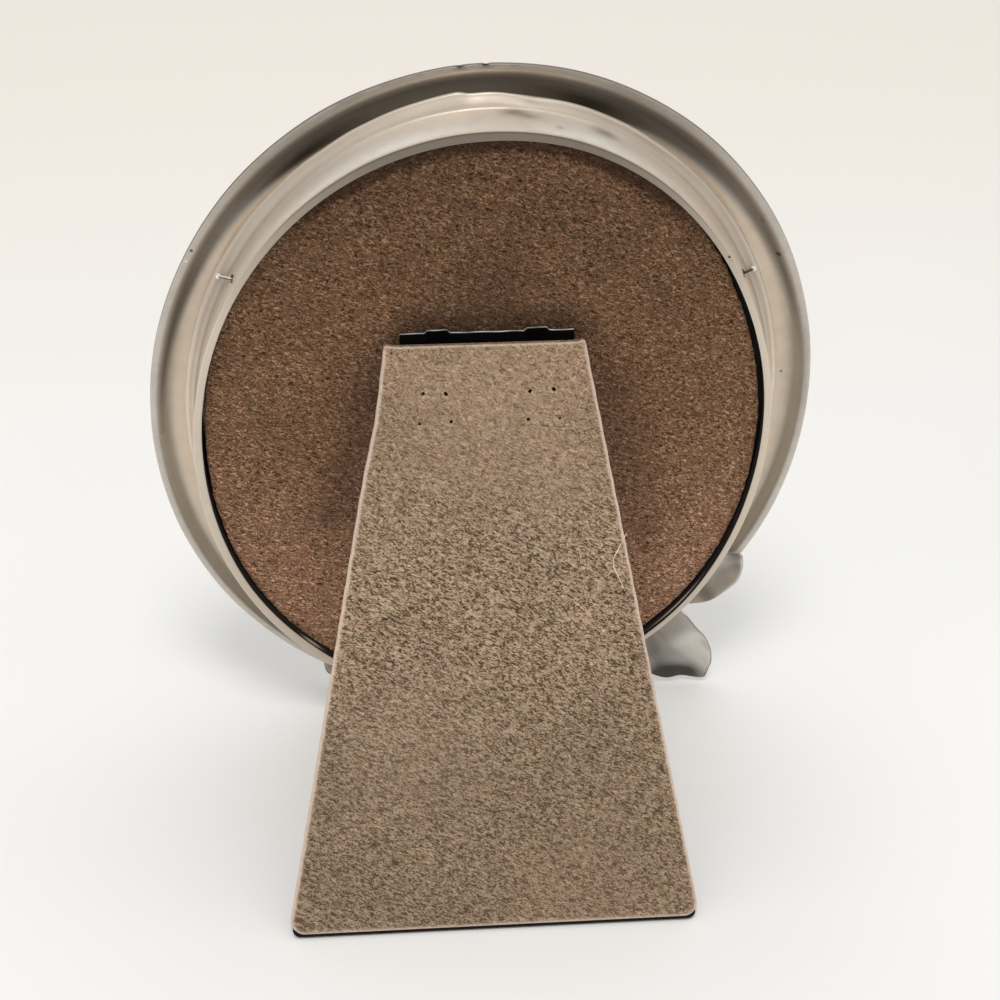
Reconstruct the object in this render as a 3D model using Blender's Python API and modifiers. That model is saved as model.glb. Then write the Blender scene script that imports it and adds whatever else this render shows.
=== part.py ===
"""Oval easel-back picture frame: a cast rail with dogwood blossoms, glass, a velour back and leg.

Metres, +Z up. The frame stands on z = 0 with its front towards -Y, leans back, and rests on
the leg behind it. The origin is the middle of the small flat under the rail.
"""
import math

import bmesh
import bpy
from mathutils import Matrix, Vector

# How it stands
LEAN = math.radians(14.0)            # frame from upright
SPREAD = math.radians(33.0)          # leg from the back panel, at the hinge's stop
FOOT_FLAT = 0.0004                   # depth ground off under the rail

# Glass, picture and packing
GLASS_WIDTH = 0.127
GLASS_HEIGHT = 0.178
GLASS_THICK = 0.002
CARD_THICK = 0.0003
FILLER_THICK = 0.002
WELL_CLEARANCE = 0.0005              # round the glass
SEAT_GAP = 0.0003                    # between pieces that touch

# Rail casting, measured outwards from the well's inner wall and forwards from the rear rim
RAIL_WIDTH = 0.0117
RAIL_EDGE = 0.0006                   # straight outer edge
RIM_WIDTH = 0.0012                   # flat rear rim
RIM_CORNER = 0.00015
GLASS_SEAT = 0.0016                  # height of the ledge under the glass
TROUGH_DEPTH = 0.0019                # hollow of the back, at its deepest
FLANK_WIDTH = 0.0027                 # steep side of the hollow, inside the rim
CROWN_RISE = 0.0018                  # swell of the front
SIGHT_LAP = 0.003                    # ledge over the glass's edge
BEAD_RADIUS = 0.0009                 # half-round at the sight edge
BEAD_BASE = 0.0031
RAIL_STEPS = 84

# Well band, soldered to the rail
WALL_THICK = 0.0017
WALL_RECESS = 0.0021                 # wall stands this far behind the velour
FLANGE_WIDTH = 0.002
FLANGE_EDGE = 0.0007                 # thickness of the flange's rim
FLANGE_RISE = 0.0008                 # slope of the flange up to the wall
WALL_ROUND = 0.00025

# Hanging loops
LOOP_WIRE = 0.0008
LOOP_FOOT_ANGLE = math.radians(30.7) # outer foot's place round the well
LOOP_WALL_ANGLE = math.radians(33.5) # inner foot's place
LOOP_FOOT_OUT = 0.0013               # outer foot beyond the wall
LOOP_HEIGHT = 0.0047                 # inner foot behind the rear rim
LOOP_BOW = 0.0007

# Back panel
BOARD_THICK = 0.0025
BOARD_CLEARANCE = 0.0005
VELOUR_THICK = 0.0007
VELOUR_MARGIN = 0.0003               # board left bare round the velour

# Hinge
HINGE_UP = 0.033                     # pin above the oval's centre
HINGE_SIDE = 0.001                   # pin's middle off the centre line
HINGE_WIDTH = 0.0378
SHEET = 0.0006
PIN_RADIUS = 0.00045
PIN_CLEARANCE = 0.00007
KNUCKLE_RADIUS = 0.0009
KNUCKLE_WIDTH = 0.006
KNUCKLE_GAP = 0.0003
RIB_SPACING = 0.0216
RIB_SLOPE = 0.0012
RIB_DEPTH = 0.0008
RIB_RISE = 0.0009
FIXED_LEAF_LENGTH = 0.018
SWING_LEAF_LENGTH = 0.0195
PRONG_CLUSTER = 0.0234               # between the two clusters
PRONG_SQUARE = 0.0062
PRONG_DROP = 0.012                   # clusters below the pin
PRONG_RADIUS = 0.0005
PRONG_CLEARANCE = 0.0002

# Leg
LEG_TOP_WIDTH = 0.0432
LEG_FOOT_WIDTH = 0.0958
LEG_TOP_RISE = 0.0018                # leg's top edge above the pin
LEG_BOARD_THICK = 0.002
LEG_VELOUR_THICK = 0.0005
LEG_BARE_EDGE = 0.0008               # board showing under the velour
LEG_CORNER = 0.0018
LEG_TOP_CORNER = 0.0003
LEG_VELOUR_CORNER = 0.0032

# Ornament. A place is a turn round the well, in degrees, and a distance outside it
ORNAMENT_TURN = 234.0                # large blossom's turn, which the rest follows
BLOSSOM_SPACING = 51.2               # small blossom's turn from there
PETAL_THICK = 0.0012
PETAL_SWELL = 0.0016
PETAL_FALL = 0.012                   # distance past the rim over which a petal bends back
BLOSSOM_EYE = 0.001                  # hole under the button
BUTTON_RISE = 0.6                    # button's height to its radius
NOTCH_WIDTH = math.radians(4.5)
LEAF_THICK = 0.0011
LEAF_FOLD = 0.0012
# Each petal: turn from straight outwards, length, half of its spread, fullness of its tip,
# depth of its notch and the notch's turn from the petal's middle
LARGE_BLOSSOM = {
    "place": (ORNAMENT_TURN, 0.0007),
    "waist": 0.0135,
    "button": 0.0042,
    "petals": [
        (-77.0, 0.0360, 37.5, 1.14, 0.0009, 0.0),
        (2.5, 0.0348, 40.0, 1.18, 0.0012, 9.0),
        (94.5, 0.0300, 39.0, 1.25, 0.0014, 0.0),
        (193.5, 0.0305, 39.0, 1.25, 0.0014, 0.0),
    ],
}
SMALL_BLOSSOM = {
    "place": (ORNAMENT_TURN + BLOSSOM_SPACING, -0.0079),
    "waist": 0.0090,
    "button": 0.0032,
    "petals": [
        (39.0, 0.0285, 36.0, 1.6, 0.0, 0.0),
        (129.0, 0.0220, 38.0, 1.25, 0.0011, 0.0),
        (219.0, 0.0210, 38.0, 1.25, 0.0011, 0.0),
        (309.0, 0.0215, 38.0, 1.25, 0.0011, 0.0),
    ],
}
# Each leaf: its half width, base and tip. An end is a blossom, a turn from straight outwards
# and a distance beyond the petals there
LEAVES = {
    "leaf_upper": (0.0062, (LARGE_BLOSSOM, -104.6, 0.0087), (LARGE_BLOSSOM, -109.5, 0.0483)),
    "leaf_left": (0.0058, (SMALL_BLOSSOM, 74.0, 0.0120), (SMALL_BLOSSOM, 97.1, 0.0368)),
    "leaf_bottom": (0.0034, (LARGE_BLOSSOM, 95.5, 0.0035), (SMALL_BLOSSOM, -61.1, 0.0021)),
}

# Levels through the frame: +z is the front, 0 the rear rim
GLASS_FRONT = GLASS_SEAT - SEAT_GAP
GLASS_BACK = GLASS_FRONT - GLASS_THICK
CARD_FRONT = GLASS_BACK - SEAT_GAP
CARD_BACK = CARD_FRONT - CARD_THICK
FILLER_FRONT = CARD_BACK - SEAT_GAP
FILLER_BACK = FILLER_FRONT - FILLER_THICK
BOARD_FRONT = FILLER_BACK - SEAT_GAP
BOARD_BACK = BOARD_FRONT - BOARD_THICK
VELOUR_FRONT = BOARD_BACK - SEAT_GAP
VELOUR_BACK = VELOUR_FRONT - VELOUR_THICK
WALL_REAR = VELOUR_BACK - WALL_RECESS
FIXED_LEAF_FRONT = VELOUR_BACK - SEAT_GAP
PIN_LEVEL = FIXED_LEAF_FRONT - KNUCKLE_RADIUS

# Levels through the leg: -z is outwards, 0 the pin
SWING_SHEET_IN = -(KNUCKLE_RADIUS + SEAT_GAP)
SWING_SHEET_OUT = SWING_SHEET_IN - SHEET
LEG_BOARD_IN = SWING_SHEET_OUT - SEAT_GAP
LEG_BOARD_OUT = LEG_BOARD_IN - LEG_BOARD_THICK
LEG_VELOUR_IN = LEG_BOARD_OUT - SEAT_GAP
LEG_VELOUR_OUT = LEG_VELOUR_IN - LEG_VELOUR_THICK

WELL_A = GLASS_WIDTH / 2 + WELL_CLEARANCE
WELL_B = GLASS_HEIGHT / 2 + WELL_CLEARANCE
RIM_B = WELL_B + RAIL_WIDTH

# Where the frame and the leg stand
FLAT_MIDDLE = RAIL_EDGE * math.cos(LEAN) / 2
CENTRE = Vector((0.0, RIM_B * math.sin(LEAN) + FLAT_MIDDLE, RIM_B * math.cos(LEAN) - FOOT_FLAT))
FRAME_PLACE = Matrix.Translation(CENTRE) @ Matrix.Rotation(math.pi / 2 - LEAN, 4, "X")
PIN_PLACE = (
    FRAME_PLACE
    @ Matrix.Translation((HINGE_SIDE, HINGE_UP, PIN_LEVEL))
    @ Matrix.Rotation(SPREAD, 4, "X")
)
LEG_LEAN = SPREAD - LEAN
STOP_REACH = (KNUCKLE_RADIUS - SWING_SHEET_IN * math.cos(SPREAD)) / math.sin(SPREAD)
LEG_REACH = (PIN_PLACE.translation.z - LEG_BOARD_IN * math.sin(LEG_LEAN)) / math.cos(LEG_LEAN)


def clear_scene():
    """Empty the scene and return the collections for the pieces and for the cutters."""
    for item in list(bpy.data.objects):
        bpy.data.objects.remove(item)
    pieces = bpy.data.collections.new("oval_picture_frame")
    cutters = bpy.data.collections.new("cutters")
    bpy.context.scene.collection.children.link(pieces)
    bpy.context.scene.collection.children.link(cutters)
    return pieces, cutters


PIECES, CUTTERS = clear_scene()


def material(name, colour, roughness, metallic, alpha=1.0):
    """A Principled material."""
    made = bpy.data.materials.new(name)
    made.use_nodes = True
    shader = made.node_tree.nodes["Principled BSDF"]
    shader.inputs["Base Color"].default_value = (*colour, 1.0)
    shader.inputs["Roughness"].default_value = roughness
    shader.inputs["Metallic"].default_value = metallic
    shader.inputs["Alpha"].default_value = alpha
    return made


def holder(name, place):
    """An empty that carries the pieces of one body."""
    empty = bpy.data.objects.new(name, None)
    empty.matrix_world = place
    PIECES.objects.link(empty)
    return empty


FRAME_HOLDER = holder("frame_plane", FRAME_PLACE)
LEG_HOLDER = holder("leg_pivot", PIN_PLACE)


def add_piece(name, mesh, carrier, look):
    """Put a mesh on its carrier as a named piece with its own material."""
    mesh.materials.clear()
    mesh.materials.append(look)
    piece = bpy.data.objects.new(name, mesh)
    PIECES.objects.link(piece)
    piece.parent = carrier
    return piece


def add_cutter(name, mesh, carrier):
    """Put a mesh on its carrier as a hidden tool for the Boolean modifiers."""
    cutter = bpy.data.objects.new(name, mesh)
    cutter.hide_render = True
    cutter.display_type = "WIRE"
    CUTTERS.objects.link(cutter)
    cutter.parent = carrier
    return cutter


def combine(piece, tool, operation):
    """Join or cut a piece with a tool."""
    step = piece.modifiers.new(f"{operation.lower()}_{tool.name}", "BOOLEAN")
    step.operation = operation
    step.solver = "EXACT"
    step.object = tool


def smooth(mesh, degrees=35.0):
    """Shade round faces smooth and keep the real corners sharp."""
    mesh.shade_smooth()
    mesh.set_sharp_from_angle(angle=math.radians(degrees))


def oval(offset, steps=RAIL_STEPS):
    """Points of the well's oval moved outwards by offset."""
    points = []
    for step in range(steps):
        turn = 2 * math.pi * step / steps
        out = Vector((math.cos(turn) / WELL_A, math.sin(turn) / WELL_B)).normalized()
        points.append(Vector((WELL_A * math.cos(turn), WELL_B * math.sin(turn))) + out * offset)
    return points


def poly_curve(name, points, flat=True):
    """A closed curve through points."""
    curve = bpy.data.curves.new(name, "CURVE")
    curve.dimensions = "2D" if flat else "3D"
    spline = curve.splines.new("POLY")
    spline.points.add(len(points) - 1)
    for knot, point in zip(spline.points, points):
        knot.co = (point[0], point[1], 0.0, 1.0)
    spline.use_cyclic_u = True
    return curve


def mesh_of(curve, name):
    """The welded mesh of a curve, facing out."""
    holder_object = bpy.data.objects.new(name, curve)
    bpy.context.scene.collection.objects.link(holder_object)
    graph = bpy.context.evaluated_depsgraph_get()
    mesh = bpy.data.meshes.new_from_object(holder_object.evaluated_get(graph))
    bpy.data.objects.remove(holder_object)
    mesh.name = name
    work = bmesh.new()
    work.from_mesh(mesh)
    bmesh.ops.remove_doubles(work, verts=work.verts, dist=0.000001)
    bmesh.ops.recalc_face_normals(work, faces=work.faces)
    work.to_mesh(mesh)
    work.free()
    return mesh


def plate_mesh(name, outline, low, high):
    """A flat plate of an outline between two levels."""
    curve = poly_curve(name, outline)
    curve.fill_mode = "BOTH"
    curve.extrude = (high - low) / 2
    mesh = mesh_of(curve, name)
    mesh.transform(Matrix.Translation((0.0, 0.0, (low + high) / 2)))
    return mesh


def oval_sweep(name, section):
    """Sweep a closed section, given as (outwards, forwards), round the well."""
    profile = bpy.data.objects.new(f"{name}_section", poly_curve(f"{name}_section", section))
    spine = poly_curve(name, oval(0.0), flat=False)
    spine.bevel_mode = "OBJECT"
    spine.bevel_object = profile
    spine.twist_mode = "Z_UP"
    mesh = mesh_of(spine, name)
    bpy.data.objects.remove(profile)
    smooth(mesh)
    return mesh


def wire_mesh(name, points, radius):
    """A round wire with filled ends through points."""
    curve = bpy.data.curves.new(name, "CURVE")
    curve.dimensions = "3D"
    curve.bevel_depth = radius
    curve.bevel_resolution = 2
    curve.use_fill_caps = True
    spline = curve.splines.new("POLY")
    spline.points.add(len(points) - 1)
    for knot, point in zip(spline.points, points):
        knot.co = (*point, 1.0)
    mesh = mesh_of(curve, name)
    smooth(mesh)
    return mesh


def rounded(corners):
    """An outline with round corners from (x, y, radius) corners."""
    points = []
    count = len(corners)
    for index, (x, y, radius) in enumerate(corners):
        corner = Vector((x, y))
        before = (Vector(corners[index - 1][:2]) - corner).normalized()
        after = (Vector(corners[(index + 1) % count][:2]) - corner).normalized()
        half = before.angle(after) / 2
        middle = corner + (before + after).normalized() * radius / math.sin(half)
        start = corner + before * radius / math.tan(half) - middle
        turn = start.angle_signed(corner + after * radius / math.tan(half) - middle)
        steps = 5
        for step in range(steps + 1):
            points.append(middle + Matrix.Rotation(-turn * step / steps, 2) @ start)
    return points


def box_mesh(name, boxes):
    """One mesh of boxes, each given by its low and high corners."""
    work = bmesh.new()
    for low, high in boxes:
        low, high = Vector(low), Vector(high)
        size = high - low
        place = Matrix.Translation((low + high) / 2) @ Matrix.Diagonal((*size, 1.0))
        bmesh.ops.create_cube(work, size=1.0, matrix=place)
    mesh = bpy.data.meshes.new(name)
    work.to_mesh(mesh)
    work.free()
    return mesh


def cone_mesh(name, cones, sides):
    """One mesh of cones or cylinders, each given as (place, radius, end radius, length)."""
    work = bmesh.new()
    for place, radius, end_radius, length in cones:
        bmesh.ops.create_cone(
            work, cap_ends=True, segments=sides, radius1=radius, radius2=end_radius,
            depth=length, matrix=place,
        )
    mesh = bpy.data.meshes.new(name)
    work.to_mesh(mesh)
    work.free()
    return mesh


def formed_sheet(name, columns, rows, place, closed=False):
    """A sheet of columns by rows steps, each corner put where place(column, row) says."""
    work = bmesh.new()
    bmesh.ops.create_grid(work, x_segments=columns, y_segments=rows, size=1.0)
    for corner in work.verts:
        column = round((corner.co.x + 1) / 2 * columns)
        row = round((corner.co.y + 1) / 2 * rows)
        corner.co = place(column, row)
    if closed:
        bmesh.ops.remove_doubles(work, verts=work.verts, dist=0.000001)
    mesh = bpy.data.meshes.new(name)
    work.to_mesh(mesh)
    work.free()
    mesh.shade_smooth()
    return mesh


def thicken(piece, thickness):
    """Give a sheet its thickness, half to each side."""
    step = piece.modifiers.new("thickness", "SOLIDIFY")
    step.thickness = thickness
    step.offset = 0.0


def eased(value):
    """A smooth step from 0 to 1."""
    value = min(1.0, max(0.0, value))
    return value * value * (3 - 2 * value)


def looks():
    """The materials, one for each kind of piece."""
    return {
        "pewter": material("pewter", (0.50, 0.46, 0.40), 0.34, 1.0),
        "solder": material("solder", (0.60, 0.56, 0.49), 0.30, 1.0),
        "wire": material("wire", (0.70, 0.68, 0.64), 0.25, 1.0),
        "glass": material("glass", (0.90, 0.94, 0.93), 0.05, 0.0, 0.35),
        "card": material("card", (0.86, 0.84, 0.79), 0.70, 0.0),
        "filler": material("filler", (0.60, 0.50, 0.38), 0.90, 0.0),
        "black_board": material("black_board", (0.02, 0.02, 0.02), 0.75, 0.0),
        "brown_velour": material("brown_velour", (0.19, 0.11, 0.08), 0.95, 0.0),
        "tan_velour": material("tan_velour", (0.36, 0.27, 0.20), 0.95, 0.0),
        "black_steel": material("black_steel", (0.015, 0.015, 0.016), 0.35, 0.6),
        "pin_steel": material("pin_steel", (0.40, 0.40, 0.40), 0.35, 1.0),
    }


LOOKS = looks()


def own(look, name):
    """A piece's own copy of a kind of material."""
    made = LOOKS[look].copy()
    made.name = name
    return made


def rail_section():
    """Section of the rail: rear rim, hollow back, glass ledge, sight bead and crowned front."""
    seam = WALL_THICK + FLANGE_WIDTH
    lip = RAIL_WIDTH - RIM_WIDTH
    flank = lip - FLANK_WIDTH
    groove = -SIGHT_LAP + 2 * BEAD_RADIUS
    section = [(RAIL_WIDTH, RIM_CORNER), (RAIL_WIDTH - RIM_CORNER, 0.0)]
    for step in range(5):
        part = step / 4
        section.append((lip - FLANK_WIDTH * part, TROUGH_DEPTH * eased(part)))
    for step in range(1, 4):
        part = step / 3
        rise = (GLASS_SEAT - TROUGH_DEPTH) * eased(part)
        section.append((flank + (seam - flank) * part, TROUGH_DEPTH + rise))
    section.append((-SIGHT_LAP, GLASS_SEAT))
    for step in range(6):
        turn = math.pi * (1 - step / 5)
        outwards = groove - BEAD_RADIUS + BEAD_RADIUS * math.cos(turn)
        section.append((outwards, BEAD_BASE + BEAD_RADIUS * math.sin(turn)))
    for step in range(1, 9):
        part = step / 8
        outwards = groove + (RAIL_WIDTH - groove) * part
        slope = BEAD_BASE + (RAIL_EDGE - BEAD_BASE) * part
        section.append((outwards, slope + CROWN_RISE * math.sin(math.pi * part)))
    return section


PETAL_LEVEL = max(height for _, height in rail_section()) + SEAT_GAP + PETAL_THICK / 2


def band_section():
    """Section of the well band: the wall round the glass and its soldered flange."""
    foot = GLASS_SEAT - SEAT_GAP
    rim = foot - FLANGE_EDGE
    outer = WALL_THICK + FLANGE_WIDTH
    return [
        (0.0, foot),
        (outer, foot),
        (outer, rim),
        (outer - WALL_ROUND, rim - WALL_ROUND),
        (WALL_THICK + WALL_ROUND, rim - FLANGE_RISE),
        (WALL_THICK, rim - FLANGE_RISE - WALL_ROUND),
        (WALL_THICK, WALL_REAR + WALL_ROUND),
        (WALL_THICK - WALL_ROUND, WALL_REAR),
        (WALL_ROUND, WALL_REAR),
        (0.0, WALL_REAR + WALL_ROUND),
    ]


def make_rail():
    """The rail and its well band, and the flat ground under the rail."""
    ring = oval_sweep("frame_ring", rail_section())
    rail = add_piece("frame_ring", ring, FRAME_HOLDER, own("pewter", "frame_ring"))
    floor = box_mesh("floor_cut", [((-RIM_B, -RIM_B, -RIM_B), (RIM_B, RIM_B, 0.0))])
    floor_cut = add_cutter("floor_cut", floor, None)
    combine(rail, floor_cut, "DIFFERENCE")
    band = oval_sweep("well_band", band_section())
    add_piece("well_band", band, FRAME_HOLDER, own("solder", "well_band"))


def by_well(turn, side, outwards, height):
    """A point beside the well: round it by a turn, out from its wall, up from the rear rim."""
    out = Vector((math.cos(turn) / WELL_A, math.sin(turn) / WELL_B)).normalized() * outwards
    x = WELL_A * math.cos(turn) + out.x
    y = WELL_B * math.sin(turn) + out.y
    return Vector((side * x, y, height))


def make_loop(name, side):
    """A wire loop bridging the corner between the well band's flange and its wall."""
    wire = LOOP_WIRE / 2
    slope = FLANGE_RISE * (LOOP_FOOT_OUT - WALL_ROUND) / (FLANGE_WIDTH - 2 * WALL_ROUND)
    flange = GLASS_SEAT - SEAT_GAP - FLANGE_EDGE - FLANGE_RISE + slope
    foot = by_well(LOOP_FOOT_ANGLE, side, WALL_THICK + LOOP_FOOT_OUT, flange - 2 * SEAT_GAP)
    inner = by_well(LOOP_WALL_ANGLE, side, WALL_THICK + SEAT_GAP + wire, -LOOP_HEIGHT)
    bow = by_well(LOOP_WALL_ANGLE, side, LOOP_BOW, 0.0) - by_well(LOOP_WALL_ANGLE, side, 0.0, LOOP_BOW)
    points = []
    for step in range(9):
        part = step / 8
        points.append(foot.lerp(inner, part) + bow * math.sin(math.pi * part))
    add_piece(name, wire_mesh(name, points, wire), FRAME_HOLDER, own("wire", name))


def make_filling():
    """The glass, the blank picture and the packing behind it."""
    sheets = [
        ("glass_pane", GLASS_BACK, GLASS_FRONT, "glass"),
        ("picture_card", CARD_BACK, CARD_FRONT, "card"),
        ("filler_card", FILLER_BACK, FILLER_FRONT, "filler"),
    ]
    for name, low, high, look in sheets:
        mesh = plate_mesh(name, oval(-WELL_CLEARANCE), low, high)
        add_piece(name, mesh, FRAME_HOLDER, own(look, name))


def rim_distance(x, y):
    """How far a point lies outside the rail's rear rim."""
    share = math.hypot(x / (WELL_A + RAIL_WIDTH), y / RIM_B)
    return (share - 1.0) * math.hypot(x, y)


def blossom_place(blossom):
    """A blossom's middle in the rail's plane, and its direction straight outwards."""
    turn, outwards = blossom["place"]
    middle = by_well(math.radians(turn), 1, outwards, 0.0).xy
    ahead = by_well(math.radians(turn), 1, outwards + RAIL_WIDTH, 0.0).xy - middle
    return middle, math.atan2(ahead.y, ahead.x)


def petal_reach(turn, blossom):
    """How far the blossom reaches in a direction: its waist, or the petal there."""
    waist = blossom["waist"]
    reach = waist
    heading = blossom_place(blossom)[1]
    for axis, length, spread, fullness, notch, notch_turn in blossom["petals"]:
        off = (turn - heading - math.radians(axis) + math.pi) % (2 * math.pi) - math.pi
        share = abs(off) / math.radians(spread)
        if share >= 1.0:
            continue
        fan = (1 - share ** fullness) ** (1 / fullness)
        dent = notch * math.exp(-((off - math.radians(notch_turn)) / NOTCH_WIDTH) ** 2)
        reach = max(reach, waist + (length - waist) * fan - dent)
    return reach


def beyond_petals(blossom, turn, distance):
    """A point beyond a blossom's petals, at a turn from straight outwards, in degrees."""
    middle, heading = blossom_place(blossom)
    direction = heading + math.radians(turn)
    reach = petal_reach(direction, blossom) + distance
    return middle + Vector((math.cos(direction), math.sin(direction))) * reach


def petal_level(x, y, share):
    """Height of a petal: swelling at mid length, and bent back where it passes the rim."""
    swell = PETAL_SWELL * math.sin(math.pi * share)
    past = eased(rim_distance(x, y) / PETAL_FALL)
    return PETAL_LEVEL + swell - past * PETAL_LEVEL


def make_blossom(name, blossom, turns):
    """A four-petalled blossom, flat in its eye, and the button that sits there."""
    middle_x, middle_y = blossom_place(blossom)[0]
    button = blossom["button"]
    rings = 5

    def place(column, row):
        turn = 2 * math.pi * (column % turns) / turns
        reach = petal_reach(turn, blossom)
        share = max(0.0, (row - 1) / (rings - 1))
        distance = BLOSSOM_EYE if row == 0 else button + (reach - button) * share
        x = middle_x + distance * math.cos(turn)
        y = middle_y + distance * math.sin(turn)
        return Vector((x, y, petal_level(x, y, share)))

    sheet = formed_sheet(name, turns, rings, place, closed=True)
    petals = add_piece(name, sheet, FRAME_HOLDER, own("pewter", name))
    thicken(petals, PETAL_THICK)
    dome = bmesh.new()
    bmesh.ops.create_uvsphere(dome, u_segments=16, v_segments=8, radius=button)
    bmesh.ops.bisect_plane(
        dome, geom=dome.verts[:] + dome.edges[:] + dome.faces[:], dist=0.000001,
        plane_co=(0, 0, 0), plane_no=(0, 0, -1), clear_outer=True,
    )
    rim = [edge for edge in dome.edges if edge.is_boundary]
    bmesh.ops.holes_fill(dome, edges=rim)
    bmesh.ops.recalc_face_normals(dome, faces=dome.faces)
    base = PETAL_LEVEL + PETAL_THICK / 2 + SEAT_GAP
    flatten = Matrix.Translation((middle_x, middle_y, base)) @ Matrix.Diagonal((1.0, 1.0, BUTTON_RISE, 1.0))
    bmesh.ops.transform(dome, matrix=flatten, verts=dome.verts)
    mesh = bpy.data.meshes.new(f"{name}_button")
    dome.to_mesh(mesh)
    dome.free()
    smooth(mesh)
    add_piece(f"{name}_button", mesh, FRAME_HOLDER, own("pewter", f"{name}_button"))


def make_leaf(name, half_width, base, tip):
    """A pointed leaf with a raised midrib."""
    start, end = beyond_petals(*base), beyond_petals(*tip)
    along = (end - start).normalized()
    across = Vector((-along.y, along.x))
    length = (end - start).length
    columns, rows = 12, 4

    def place(column, row):
        share = 0.04 + 0.94 * column / columns
        side = 2 * row / rows - 1
        width = half_width * math.sin(math.pi * share ** 0.8)
        spot = start + along * length * share + across * width * side
        lift = LEAF_FOLD * (1 - abs(side)) * math.sin(math.pi * share)
        return Vector((spot.x, spot.y, PETAL_LEVEL + lift))

    sheet = formed_sheet(name, columns, rows, place)
    leaf = add_piece(name, sheet, FRAME_HOLDER, own("pewter", name))
    thicken(leaf, LEAF_THICK)


def hinge_knuckles(spans, radius):
    """Cylinders along the pin over the given spans."""
    turn = Matrix.Rotation(math.pi / 2, 4, "Y")
    return [
        (Matrix.Translation(((low + high) / 2, 0.0, 0.0)) @ turn, radius, radius, high - low)
        for low, high in spans
    ]


def knuckle_spans():
    """Spans along the pin of the fixed leaf's and the swinging leaf's knuckles."""
    half = KNUCKLE_WIDTH / 2
    centre = RIB_SPACING / 2
    end = HINGE_WIDTH / 2
    fixed = [(-centre - half, -centre + half), (centre - half, centre + half)]
    inner = centre - half - KNUCKLE_GAP
    outer = centre + half + KNUCKLE_GAP
    swing = [(-end, -outer), (-inner, inner), (outer, end)]
    return fixed, swing


def prong_places(level):
    """Middles of the eight prongs, below the pin."""
    half = PRONG_SQUARE / 2
    places = []
    for cluster in (-PRONG_CLUSTER / 2, PRONG_CLUSTER / 2):
        for step_x in (-half, half):
            for step_y in (-half, half):
                places.append(Vector((cluster + step_x, step_y - PRONG_DROP, level)))
    return places


def prongs(root, tip):
    """Pointed prongs from one level to another."""
    length = abs(tip - root)
    turn = Matrix.Rotation(math.pi, 4, "X") if tip < root else Matrix.Identity(4)
    return [
        (Matrix.Translation(place) @ turn, PRONG_RADIUS, PRONG_RADIUS / 6, length)
        for place in prong_places((root + tip) / 2)
    ]


def prong_holes(name, low, high, carrier, offset):
    """Cutter for the holes that the prongs pass through."""
    radius = PRONG_RADIUS + PRONG_CLEARANCE
    cones = [
        (Matrix.Translation(place + offset), radius, radius, high - low)
        for place in prong_places((low + high) / 2)
    ]
    return add_cutter(name, cone_mesh(name, cones, 8), carrier)


def make_back_panel():
    """The black board, its velour, the fixed leaf and the pin."""
    pin_at = Vector((HINGE_SIDE, HINGE_UP, 0.0))
    board_mesh = plate_mesh("back_board", oval(-BOARD_CLEARANCE), BOARD_BACK, BOARD_FRONT)
    board = add_piece("back_board", board_mesh, FRAME_HOLDER, own("black_board", "back_board"))
    velour_edge = oval(-BOARD_CLEARANCE - VELOUR_MARGIN)
    velour_mesh = plate_mesh("back_velvet", velour_edge, VELOUR_BACK, VELOUR_FRONT)
    velour = add_piece("back_velvet", velour_mesh, FRAME_HOLDER, own("brown_velour", "back_velvet"))
    past = SEAT_GAP / 2
    holes = prong_holes("back_prong_holes", VELOUR_BACK - past, BOARD_FRONT + past, FRAME_HOLDER, pin_at)
    combine(board, holes, "DIFFERENCE")
    combine(velour, holes, "DIFFERENCE")

    fixed_spans, swing_spans = knuckle_spans()
    leaf_back = FIXED_LEAF_FRONT - SHEET
    leaf_top = -(KNUCKLE_RADIUS + KNUCKLE_GAP)
    half = HINGE_WIDTH / 2
    front = FIXED_LEAF_FRONT - PIN_LEVEL
    back = leaf_back - PIN_LEVEL
    leaf = add_piece(
        "hinge_fixed_leaf",
        box_mesh("hinge_fixed_leaf", [((-half, -FIXED_LEAF_LENGTH, back), (half, leaf_top, front))]),
        FRAME_HOLDER, own("black_steel", "hinge_fixed_leaf"),
    )
    leaf.location = (HINGE_SIDE, HINGE_UP, PIN_LEVEL)
    tab_boxes = [((low, leaf_top - SHEET, back), (high, 0.0, front)) for low, high in fixed_spans]
    tabs = box_mesh("fixed_tabs", tab_boxes)
    combine(leaf, add_cutter("fixed_tabs", tabs, leaf), "UNION")
    barrels = cone_mesh("fixed_knuckles", hinge_knuckles(fixed_spans, KNUCKLE_RADIUS), 20)
    combine(leaf, add_cutter("fixed_knuckles", barrels, leaf), "UNION")
    points = cone_mesh("fixed_prongs", prongs(back / 2 + front / 2, BOARD_FRONT - SEAT_GAP - PIN_LEVEL), 4)
    combine(leaf, add_cutter("fixed_prongs", points, leaf), "UNION")
    bore_radius = PIN_RADIUS + PIN_CLEARANCE
    bore = cone_mesh("fixed_bore", hinge_knuckles([(-half * 2, half * 2)], bore_radius), 20)
    combine(leaf, add_cutter("fixed_bore", bore, leaf), "DIFFERENCE")

    pin = cone_mesh("hinge_pin", hinge_knuckles([(-half, half)], PIN_RADIUS), 20)
    smooth(pin)
    pin_piece = add_piece("hinge_pin", pin, FRAME_HOLDER, own("pin_steel", "hinge_pin"))
    pin_piece.location = (HINGE_SIDE, HINGE_UP, PIN_LEVEL)


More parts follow.
